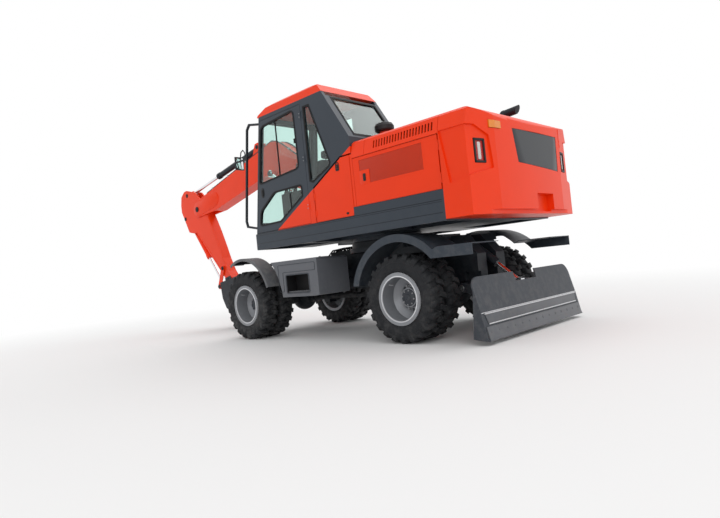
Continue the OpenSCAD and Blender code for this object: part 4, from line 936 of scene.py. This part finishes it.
@dataclass
class Bodywork(Assembly):
    """Sheets, latches, lamps, caps, the painted shade behind the slots and along the skirt folds, and the
    bare tail panel of the upper structure.
    """

    door_y: float = 1110.0
    tail_x: float = -1150.0
    tail_r: float = 12000.0
    corner_start: Point = (-1129.0, 710.0)
    corner_slope: float = 79.0 / 410.0

    def corner(self, p: Point, depth: float, side: int = 1) -> Vector:
        """Gives a place under the chamfered corner's face, from Y and Z."""
        slope, (x, y) = self.corner_slope, self.corner_start
        norm = math.hypot(1, slope)
        return at(x + (p[0] - y) * slope + depth / norm, side * (p[0] - depth * slope / norm), p[1])

    def build(self) -> None:
        """Builds the pieces of the bodywork."""
        self.sheets()
        self.latches()
        self.tail_panel()
        self.tail_lamps()
        self.fillers()
        self.skirt_fold_shade()

    def skirt_fold_shade(self) -> None:
        """Lays black strips along the folds of the platform's skirts, painted shade in their creases."""
        for side, label in SIDES:
            fold = Form()
            # Black strips at the folds: painted shade in the creases of the skirt.
            for z, size in ((1340, 5), (1450, 4), (1469, 6)):
                fold.block((-700, side * 1112, z - size), (2440, side * 1120.4, z + size))
            self.add(fold, f"skirt_fold_shade_{label}", Look.BLACK, "upper")

    def sheets(self) -> None:
        """Sets the perforated sheets in the engine doors and a near-black sheet behind the slots, painted
        shade where the dark inside shows.
        """
        for side, label in SIDES:
            body, y = f"engine_door_{label}", side * self.door_y
            rim = rect(-518, 1802, 398, 2093)
            sheet = Form().prism(rim, Plane.SIDE, y - side * 5.8, y - side * 1.5, 1)
            self.add(sheet, f"perforated_sheet_{label}", Look.MESH, body)
            self.add(Form().band(rim, 6, -7, y - side * 3, y + side), f"sheet_edge_{label}", Look.PAINT, body)
        for side, label in SIDES:
            # A near-black sheet behind the louvre slots: painted shade of the engine's dark inside.
            shade_sheet = Form().block((-690, side * 1052, 2160), (170, side * 1056, 2275), 1)
            self.add(shade_sheet, f"slot_shade_sheet_{label}", Look.RUBBER, "engine_lid" if side > 0 else "upper")

    def latches(self) -> None:
        """Sets the latches of the doors."""
        for side, label in SIDES:
            body, y = f"engine_door_{label}", side * self.door_y
            plate = Form().prism(rounded(rect(244, 1802, 392, 1965), 14), Plane.SIDE, y - side * 5,
                                 y + side * 1.5, 1.5)
            self.add(plate, f"latch_plate_{label}", Look.PAINT, body)
            paddle = Form().prism(rounded(rect(300, 1840, 340, 1925), 10), Plane.SIDE, y + side * 1.5,
                                  y + side * 6.5, 1.5)
            self.add(paddle, f"latch_{label}", Look.PLASTIC, body)
        low = self.door_y - 1
        latch = Form().frame(rounded(rect(712, 2035, 770, 2125), 16), rounded(rect(724, 2062, 758, 2137), 10),
                             Plane.SIDE.place, low, low + 7)
        latch.prism(rounded(rect(730, 2066, 752, 2112), 6), Plane.SIDE, low, low + 5, 1)
        latch.prism(oval((640, 1518), 20, 14), Plane.SIDE, low, low + 6, 1)
        self.add(latch, "side_door_latch", Look.PLASTIC, "side_door")

    def tail_panel(self) -> None:
        """Lays the bare dark panel in its recess in the tail."""
        top, low, steps, lap = ((352, 2167), (-708, 2171)), ((282, 1810), (-678, 1760)), 12, 4
        loops = []
        for depth in (22.6, 16.0):
            rows = []
            for ((y0, z0), (y1, z1)), lift in ((top, -lap), (low, lap)):
                row = []
                for i in range(steps + 1):
                    t = i / steps
                    y = y0 + (y1 - y0) * t + {0: -lap, steps: lap}.get(i, 0)
                    x = self.tail_x + depth + y * y / (2 * self.tail_r)
                    row.append(at(x, y, z0 + (z1 - z0) * t + lift))
                rows.append(row)
            loops.append(rows[0] + rows[1][::-1])
        self.add(Form().loft(loops, 1.2), "tail_panel", Look.PANEL, "upper")

    def tail_lamps(self) -> None:
        """Adds the black bezels and clear middles of the tail lamps."""
        outline = rounded(rect(853, 1778, 1002, 2017), 10)
        clear = rounded(rect(912, 1812, 950, 1983), 12)
        for side, label in SIDES:
            bezel = Form().frame(outline, grown(outline, -20), partial(self.corner, side=side), 30, 14)
            self.add(bezel, f"lamp_bezel_{label}", Look.PLASTIC, "upper")
            lens = Form().loft([[self.corner(p, d, side) for p in clear] for d in (27, 21)], 1.5)
            self.add(lens, f"clear_lens_{label}", Look.CLEAR, "upper")

    def fillers(self) -> None:
        """Adds the fuel cap, the tool box's latch and the pre-cleaner's fins."""
        cap = Form().lathe([(0, 40), (36, 40), (44, 34), (46, 8), (62, 6), (62, -2), (0, -2)],
                           (1150, -800, 2230), Axis.Z, 1, 36)
        self.add(cap, "fuel_cap", Look.PLASTIC, "upper")
        box = Form().prism(rounded(rect(1960, -1000, 2050, -940), 12), Plane.PLAN, 1829, 1833, 1)
        box.prism(rounded(rect(1975, -985, 2035, -955), 8), Plane.PLAN, 1832, 1840, 1)
        self.add(box, "box_latch", Look.PLASTIC, "upper")
        fins, middle = Form(), (425, 560)
        for angle in range(0, 360, 15):
            fins.prism([polar(middle, radius, angle + turn) for radius, turn in (
                (116.5, -2.2), (116.5, 2.2), (119.5, 2.2), (119.5, -2.2))], Plane.PLAN, 2504, 2542)
        fins.lathe([(0, 4), (14, 4), (16, 0), (0, 0)], (*middle, 2591), Axis.Z, 1, 16)
        self.add(fins, "pre_cleaner_fins", Look.PLASTIC, "upper")


@dataclass
class Cab(Assembly):
    """Seals, bars, handle, mirror, wiper, controls and seat of the cab."""

    outer_y: float = 1105.0
    inner_y: float = 115.0
    front_line: tuple[Point, Point] = ((2465, 1475), (2170, 3040))
    rear_line: tuple[Point, Point] = ((510, 2397), (905, 3040))
    upper: tuple[Point, ...] = (
        (2280, 2182), (2156, 2848), (2136, 2882), (2092, 2902), (1505, 2943), (1470, 2934), (1450, 2900),
        (1442, 2262), (1456, 2226), (1496, 2207), (2246, 2150), (2274, 2160))
    lower: tuple[Point, ...] = (
        (2350, 1625), (2322, 1745), (2290, 1790), (2010, 1970), (1960, 1984), (1450, 1986), (1425, 1965),
        (1425, 1850), (1905, 1590), (2320, 1585), (2344, 1598))
    rear_side: tuple[Point, ...] = (
        (1245, 2930), (1150, 2930), (868, 2165), (885, 2125), (1195, 1990), (1245, 2010))
    right: tuple[Point, ...] = ((2210, 2100), (2100, 2950), (1330, 2950), (1330, 2100))

    def front_x(self, z: float) -> float:
        """Gives the X of the front wall at a height."""
        return x_at(z, *self.front_line)

    def rear_x(self, z: float) -> float:
        """Gives the X of the rear wall at a height."""
        return x_at(z, *self.rear_line)

    def build(self) -> None:
        """Builds the pieces of the cab."""
        self.seals()
        self.door_trim()
        self.mirror()
        self.wiper()
        self.controls()
        self.seat()

    def seals(self) -> None:
        """Runs rubber seals round every pane."""
        door, shell = Form(), Form()
        outside, inside = (self.outer_y - 10, self.outer_y + 4), (self.inner_y - 4, self.inner_y + 10)
        for form, outline, depths in ((door, self.upper, outside), (door, self.lower, outside),
                                      (shell, self.rear_side, outside), (shell, self.right, inside)):
            form.band(outline, 15, -9, *depths)
        front, rear = rect(185, 1620, 1035, 2975), rect(205, 2440, 985, 2960)
        shell.frame(grown(front, 14), grown(front, -10), lambda p, d: at(self.front_x(p[1]) - d, *p), 10, -4)
        shell.frame(grown(rear, 16), grown(rear, -10), lambda p, d: at(self.rear_x(p[1]) + d, *p), 10, -5)
        self.add(door, "door_window_seals", Look.RUBBER, "door", 50)
        self.add(shell, "cab_window_seals", Look.RUBBER, "upper", 50)

    def door_trim(self) -> None:
        """Adds the sliding pane's bars, the small catch, the handle and the hinges' bolts."""
        bars = Form().block((1832, 1084, 2182), (1850, 1100, 2922), 2)
        bars.block((1666, 1084, 1722), (1680, 1100, 1984), 2)
        bars.block((1452, 1102, 2530), (1482, 1112, 2590), 3)
        self.add(bars, "door_window_bars", Look.RUBBER, "door")
        handle = Form().prism(oval((2236, 2020), 34, 68), Plane.SIDE, self.outer_y - 2, self.outer_y + 4, 1.5)
        handle.prism(rounded(rect(2224, 1972, 2250, 2062), 12), Plane.SIDE,
                     self.outer_y + 3, self.outer_y + 12, 2)
        self.add(handle, "door_handle", Look.PLASTIC, "door")
        edge = Form()
        for z in (1700, 2300, 2850):
            edge.bolts([(1332, 1109, z - 22), (1332, 1109, z + 22)], Axis.Y, 5, 3)
        self.add(edge, "door_hinge_bolts", Look.STEEL, "door")

    def mirror(self) -> None:
        """Adds the mirror's glass, its back shell and its clamp on the rail."""
        outline = rounded(rect(950, 2462, 1082, 2641), 22)
        glass = Form().prism(grown(outline, -6), Plane.CROSS, 2836.5, 2840.5, 0.5)
        self.add(glass, "mirror_glass", Look.MIRROR, "upper")
        shell = Form().frame(outline, grown(outline, -6), Plane.CROSS.place, 2835, 2842)
        shell.loft([[Plane.CROSS.place(p, 2858) for p in outline],
                    [Plane.CROSS.place(p, 2872) for p in grown(outline, -14)]], 3)
        shell.lathe([(0, 16), (24, 16), (26, 12), (26, -12), (24, -16), (0, -16)], (2580, 1075, 2560),
                    Axis.Y, 1, 24)
        loop = [(2600, 2570), (2610, 2660), (2650, 2700), (2700, 2680), (2720, 2620), (2722, 2562)]
        shell.tube([at(x, 1075, z) for x, z in loop], 8, 12)
        self.add(shell, "mirror_shell", Look.PLASTIC, "upper")

    def wiper(self) -> None:
        """Adds the wiper at the foot of the front pane."""
        arm = Form().lathe([(0, 30), (16, 30), (22, 22), (24, 0), (0, 0)],
                           (self.front_x(1600) - 4, 610, 1600), Axis.X, 1, 24)
        lever, blade = ((20, 610, 1600), (12, 560, 1750), (12, 470, 2200)), ((4, 520, 1960), (4, 412, 2480))
        for path, radius, steps in ((lever, 6, 10), (blade, 7, 8)):
            arm.tube([at(self.front_x(z) + out, y, z) for out, y, z in path], radius, steps)
        self.add(arm, "wiper", Look.PLASTIC, "upper")

    def controls(self) -> None:
        """Adds lever boots and grips, the wheel's boss and a plain display."""
        parts = Form()
        for y in (295, 935):
            parts.lathe([(0, 70), (17, 70), (24, 58), (22, 46), (36, 30), (32, 20), (48, 4), (48, -2),
                         (0, -2)], (1932, y, 1955), Axis.Z, 1, 28)
            parts.lathe([(0, 112), (16, 108), (23, 88), (20, 50), (17, 12), (0, 4)], (1946, y, 2085),
                        Axis.Z, 1, 24)
        parts.lathe([(0, 20), (34, 18), (44, 6), (46, -14), (0, -16)], (2110, 610, 2200), Axis.Z, 1, 32)
        parts.prism(rounded(rect(180, 2060, 330, 2190), 14), Plane.CROSS, 2200, 2226, 3)
        self.add(parts, "cab_grips", Look.PLASTIC, "upper")

    def pad(self, low: Place, high: Place, crown: float, seams: int, lean: float = 0.0,
            upright: bool = False) -> Form:
        """Builds a crowned cushion with sewn channels.

        Args:
            low: Its lowest corner.
            high: Its highest corner.
            crown: How far its show face swells in millimetres.
            seams: How many channels cross it.
            lean: How far the top leans back in millimetres.
            upright: Whether the show face looks forward and not up.

        Returns:
            The form.
        """
        form = Form()
        bmesh.ops.create_cube(form.mesh, size=2.0)
        bmesh.ops.subdivide_edges(form.mesh, edges=form.mesh.edges[:], cuts=22, use_grid_fill=True)
        power = 5.0
        half = [(b - a) / 2 for a, b in zip(low, high)]
        middle = [(a + b) / 2 for a, b in zip(low, high)]
        for vert in form.mesh.verts:
            p = vert.co.copy()
            p = p / sum(abs(c) ** power for c in p) ** (1 / power) * max(abs(c) for c in p)
            face = p.x if upright else p.z
            a, b = p.y, (p.z if upright else p.x)
            swell = max(0.0, face) * crown * max(0.0, 1 - a * a) ** 0.6 * max(0.0, 1 - b * b) ** 0.6
            for k in range(seams):
                at_seam = -0.6 + 1.2 * k / max(1, seams - 1)
                swell -= max(0.0, face) * 9 * math.exp(-((b - at_seam) / 0.035) ** 2)
            edge = 7 * math.exp(-((abs(a) - 0.80) / 0.03) ** 2) * max(0.0, face)
            mm = [middle[i] + p[i] * half[i] for i in range(3)]
            mm[0 if upright else 2] += swell - edge
            mm[0] -= lean * (mm[2] - low[2]) / max(1.0, high[2] - low[2])
            vert.co = at(*mm)
        return form

    def seat(self) -> None:
        """Builds the sprung seat in place of its plain solid."""
        pads = {
            "seat_cushion": self.pad((1470, 392, 1728), (1915, 828, 1846), 16, 3),
            "seat_back": self.pad((1432, 402, 1862), (1520, 818, 2330), 14, 4, 72, True),
            "head_rest": self.pad((1352, 490, 2345), (1425, 730, 2448), 6, 0, 8, True)}
        pieces = [self.add(form, name, Look.CLOTH, "upper", 80) for name, form in pads.items()]
        base = Form()
        for z in range(1508, 1508 + 5 * 38, 38):
            base.loft([[at(x, y, height) for x, y in rounded(rect(1492 + g, 442 + g, 1848 - g, 778 - g), 40)]
                       for height, g in ((z, 12), (z + 19, 0), (z + 37.5, 12))])
        base.block((1450, 400, 1700), (1900, 820, 1727), 6)
        for y in (560, 660):
            base.tube([at(1400, y, 2300), at(1392, y, 2360)], 8, 10)
        self.add(base, "seat_base", Look.PLASTIC, "upper", 40)
        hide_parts("seat")


@dataclass
class DiggingGear(Assembly):
    """Pin caps, doubling plates, pipes, weld beads and wear strips of boom, arm and bucket."""

    arm_pin: Point = (5950.0, 2335.0)
    tip_pin: Point = (5100.0, 880.0)
    bucket_turn: float = 172.0

    def on_arm(self, u: float, v: float) -> Point:
        """Gives a place on the arm, along its line and out from it."""
        dx, dz = self.tip_pin[0] - self.arm_pin[0], self.tip_pin[1] - self.arm_pin[1]
        length = math.hypot(dx, dz)
        dx, dz = dx / length, dz / length
        return self.arm_pin[0] + u * dx - v * dz, self.arm_pin[1] + u * dz + v * dx

    def on_bucket(self, u: float, v: float) -> Point:
        """Gives a place on the bucket, along the line to its teeth and out to its back."""
        a = math.radians(self.bucket_turn)
        return (self.tip_pin[0] + u * math.cos(a) - v * math.sin(a),
                self.tip_pin[1] + u * math.sin(a) + v * math.cos(a))

    def cap(self, form: Form, p: Point, y: float, side: int, radius: float) -> None:
        """Closes a pin's end with a turned cap and its bolt plate."""
        form.lathe([(0, 9), (radius * 0.55, 9), (radius * 0.62, 6), (radius * 0.92, 6), (radius, 3),
                    (radius, -3), (0, -3)], (p[0], y, p[1]), Axis.Y, side, 36)
        form.bolts([(p[0], y + side * 8, p[1])], Axis.Y, radius * 0.24, 7, side)

    def pins(self) -> None:
        """Caps the pins at every pivot."""
        rows = {
            "upper": [((1750, 1860), 185, 50), ((2006, 1335), 242, 42)],
            "boom_body": [(self.arm_pin, 140, 52), ((3880, 3120), 87, 36)],
            "boom_pistons": [((3394, 2558), 247, 42)],
            "arm_body": [(self.on_arm(-504, 191), 90, 40), (self.on_arm(-180, 545), 90, 40),
                         (self.tip_pin, 150, 50)],
            "idler": [(self.on_arm(1391, 30), 120, 38), (self.on_arm(1600, 345), 120, 38)],
            "bucket_body": [(polar(self.tip_pin, 262, 270), 145, 40)]}
        for body, places in rows.items():
            form = Form()
            for p, half, radius in places:
                for side in (1, -1):
                    self.cap(form, p, BOOM_Y + side * half, side, radius)
                    if body == "bucket_body":
                        form.tube([at(p[0], BOOM_Y + side * y, p[1]) for y in (86, 146)], 28, 24)
            self.add(form, f"pin_caps_{body}", Look.CAST, body)

    def pipes(self) -> None:
        """Runs the two steel pipes and their clamps on top of the boom."""
        top = [(2150, 2262), (3160, 2996), (3290, 3066), (3420, 3100), (5560, 2588)]
        pipes, clamps = Form(), Form()
        for y in (BOOM_Y + 106, BOOM_Y - 106):
            pipes.tube([at(2110, y, 2200), *(at(x, y, z + 17) for x, z in top), at(5610, y, 2560)], 10, 12)
        for x, z in ((2500, 2516), (3000, 2880), (3560, 3067), (4200, 2914), (4800, 2770), (5350, 2638)):
            for y in (BOOM_Y + 106, BOOM_Y - 106):
                clamps.block((x - 20, y - 17, z - 6), (x + 20, y + 17, z + 31), 4)
                clamps.bolts([(x, y, z + 31)], Axis.Z, 5, 4)
        self.add(pipes, "boom_pipes", Look.BLACK, "boom_body", 50)
        self.add(clamps, "boom_pipe_clamps", Look.STEEL, "boom_body")

    def beads(self) -> None:
        """Lays the weld beads along the boom and the arm."""
        boom = ([(1760, 1930), (1915, 2060), (3190, 2990), (3305, 3058), (3422, 3080), (5780, 2514)],
                [(1915, 1822), (3392, 2512), (3556, 2582), (3722, 2582), (5290, 2254)])
        arm = [[self.on_arm(*p) for p in path] for path in (
            ((285, 352), (800, 236), (1480, 98)),
            ((80, -142), (316, -142), (635, -128), (998, -88), (1440, -44)))]
        for name, paths, half, radius in (("boom", boom, 121.5, 4.5), ("arm", arm, 90, 4)):
            form = Form()
            for path in paths:
                for y in (BOOM_Y - half, BOOM_Y + half):
                    form.tube([at(x, y, z) for x, z in path], radius, 8)
            self.add(form, f"{name}_beads", Look.PAINT, f"{name}_body", 60)

    def cylinder_pipes(self) -> None:
        """Adds the pipe along each boom cylinder."""
        foot, eye = Vector((2006, 1335)), Vector((3394, 2558))
        d = (eye - foot).normalized()
        form = Form()
        for side in (1, -1):
            run = ((120, 239), (160, 255), (1060, 255), (1095, 241))
            path = [(foot + d * far, BOOM_Y + side * y) for far, y in run]
            form.tube([at(p.x, y, p.y) for p, y in path], 8, 10)
        self.add(form, "boom_cylinder_pipes", Look.BLACK, "boom_cylinders", 50)

    def bucket_trim(self) -> None:
        """Adds wear strips and side cutters with their bolts to the bucket."""
        back = ((104, 250), (104, 330), (175, 520), (335, 620), (520, 600), (860, 141))
        away = ((868, 149), (526, 610), (331, 631), (166, 528), (94, 334), (94, 250))
        cutter = ((560, 32), (905, 30), (930, 55), (860, 140), (800, 90), (560, 75))
        strips = Form()
        for y in (BOOM_Y - 250, BOOM_Y, BOOM_Y + 250):
            strips.prism([self.on_bucket(*p) for p in back + away], Plane.SIDE, y - 32, y + 32, 2)
        for side in (1, -1):
            outer = BOOM_Y + side * 388
            strips.prism([self.on_bucket(*p) for p in cutter], Plane.SIDE, BOOM_Y + side * 374, outer, 3)
            places = [self.on_bucket(u, 56) for u in (620, 740, 860)]
            strips.bolts([(x, outer, z) for x, z in places], Axis.Y, 11, 9, side)
        self.add(strips, "bucket_wear_strips", Look.BLACK, "bucket_body")

    def doublers(self) -> None:
        """Lays the raised plates round the boom's foot and its tip."""
        tip = [polar(self.arm_pin, 138, a) for a in range(-105, 91, 13)]
        tip += [(5560, 2540), (5330, 2590), (5215, 2560), (5165, 2470), (5190, 2375), (5290, 2300)]
        foot = [polar((1750, 1860), 118, a) for a in range(150, 301, 15)]
        foot += [(2080, 1960), (2260, 2110), (2290, 2200), (2240, 2270), (2150, 2235), (1930, 2060)]
        form = Form()
        for side in (1, -1):
            form.prism(tip, Plane.SIDE, BOOM_Y + side * 124, BOOM_Y + side * 132, 2)
            form.prism(foot, Plane.SIDE, BOOM_Y + side * 124, BOOM_Y + side * 130, 2)
        self.add(form, "boom_doublers", Look.PAINT, "boom_body")

    def build(self) -> None:
        """Builds the pieces of the digging gear."""
        self.doublers()
        self.pins()
        self.pipes()
        self.beads()
        self.cylinder_pipes()
        self.bucket_trim()


@dataclass
class Studio:
    """Camera, floor, light and background."""

    lens: float = 28.004
    eye: tuple[float, float, float] = (-3.958 - MIDDLE_X / 1000, 5.729, 0.880)
    right: tuple[float, float, float] = (-0.71313, -0.69368, -0.10123)
    down: tuple[float, float, float] = (0.08260, 0.06025, -0.99476)
    forward: tuple[float, float, float] = (0.69615, -0.71776, 0.01433)
    floor_size: float = 60.0
    fade_from: float = 4.2
    fade_to: float = 12.0
    daylight: float = 0.62

    def build(self) -> None:
        """Sets up the whole studio."""
        self.camera()
        self.floor()
        self.world()
        self.lamps()
        bpy.context.scene.view_settings.view_transform = "Standard"

    def camera(self) -> None:
        """Stands the camera where the photograph was taken."""
        data = bpy.data.cameras.new("camera")
        data.sensor_fit = "HORIZONTAL"
        data.sensor_width = 36.0
        data.lens = self.lens
        data.clip_end = 400
        obj = stand(data)
        matrix = Matrix.Identity(4)
        for i in range(3):
            matrix[i][0], matrix[i][1], matrix[i][2] = self.right[i], -self.down[i], -self.forward[i]
            matrix[i][3] = self.eye[i]
        obj.matrix_world = matrix
        bpy.context.scene.camera = obj

    def seen(self, tree: Tree) -> Socket:
        """Gives 1 for rays from the camera, from gloss and through glass."""
        path = add_node(tree, "LightPath")
        total = path.outputs["Is Camera Ray"]
        for key in ("Is Glossy Ray", "Is Transmission Ray"):
            made = add_node(tree, "Math", operation="MAXIMUM")
            feed(tree, total, made.inputs[0])
            feed(tree, path.outputs[key], made.inputs[1])
            total = made.outputs[0]
        return total

    def floor(self) -> None:
        """Lays a pale floor that fades into the white background."""
        mesh = bmesh.new()
        bmesh.ops.create_grid(mesh, x_segments=2, y_segments=2, size=self.floor_size)
        data = bpy.data.meshes.new("floor")
        mesh.to_mesh(data)
        mesh.free()
        material = new_material("floor", Base_Color=(0.80, 0.80, 0.80), Roughness=0.85)
        data.materials.append(material)
        tree = material.node_tree
        glow = add_node(tree, "Emission")
        length = add_node(tree, "VectorMath", operation="LENGTH")
        fade = add_node(tree, "MapRange", interpolation_type="SMOOTHSTEP")
        share = add_node(tree, "Math", operation="MULTIPLY")
        mix = add_node(tree, "MixShader")
        for value, socket in (
                ((1.0, 1.0, 1.0), glow.inputs["Color"]),
                (add_node(tree, "TexCoord").outputs["Object"], length.inputs[0]),
                (self.fade_from, fade.inputs["From Min"]), (self.fade_to, fade.inputs["From Max"]),
                (length.outputs["Value"], fade.inputs["Value"]),
                (fade.outputs["Result"], share.inputs[0]), (self.seen(tree), share.inputs[1]),
                (share.outputs[0], mix.inputs[0]), (tree.nodes["Principled BSDF"].outputs[0], mix.inputs[1]),
                (glow.outputs[0], mix.inputs[2]),
                (mix.outputs[0], tree.nodes["Material Output"].inputs["Surface"])):
            feed(tree, value, socket)
        obj = stand(data)

    def world(self) -> None:
        """Fills the background with white and the shade with soft daylight."""
        world = bpy.data.worlds.new("daylight")
        bpy.context.scene.world = world
        world.use_nodes = True
        tree = world.node_tree
        back = tree.nodes["Background"].inputs
        strength = add_node(tree, "MapRange")
        for value, socket in (((1.0, 1.0, 1.0), back["Color"]), (self.daylight, strength.inputs["To Min"]),
                              (1.0, strength.inputs["To Max"]), (self.seen(tree), strength.inputs["Value"]),
                              (strength.outputs["Result"], back["Strength"])):
            feed(tree, value, socket)

    def lamps(self) -> None:
        """Hangs two wide soft lamps over the machine."""
        for name, angle, energy, spread in (("sky", (0.35, 0.10, -0.6), 1.15, 1.2),
                                            ("side", (1.05, 0.0, -2.35), 0.75, 0.9)):
            data = bpy.data.lights.new(name, "SUN")
            data.energy = energy
            data.angle = spread
            stand(data).rotation_euler = angle


def dress_solids(frame: dict, shop: PaintShop) -> None:
    """Gives every solid its material.

    Args:
        frame: The loaded frame.
        shop: Where the materials are mixed.
    """
    slots = {part["node"]: part["material_slot"] for part in frame["record"]["subparts"]}
    for name, obj in frame["nodes"].items():
        slot = slots[name]
        if name in NODE_LOOKS:
            material = shop.get(NODE_LOOKS[name])
        elif slot == "glass":
            material = shop.glazing()
        else:
            material = shop.get(SLOT_LOOKS.get(slot, Look.PLASTIC))
        obj.data.materials.clear()
        obj.data.materials.append(material)
        LOG.info("solid %s: %s", name, material.name)


def main() -> None:
    """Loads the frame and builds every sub-assembly."""
    logging.basicConfig(level=logging.INFO, format="%(message)s")
    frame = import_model()
    Studio().build()
    shop = PaintShop()
    dress_solids(frame, shop)
    for assembly in (Tyres, Wheels, Undercarriage, DozerBlade, Bodywork, Cab, DiggingGear):
        assembly(shop).build()


if __name__ == "__main__":
    main()
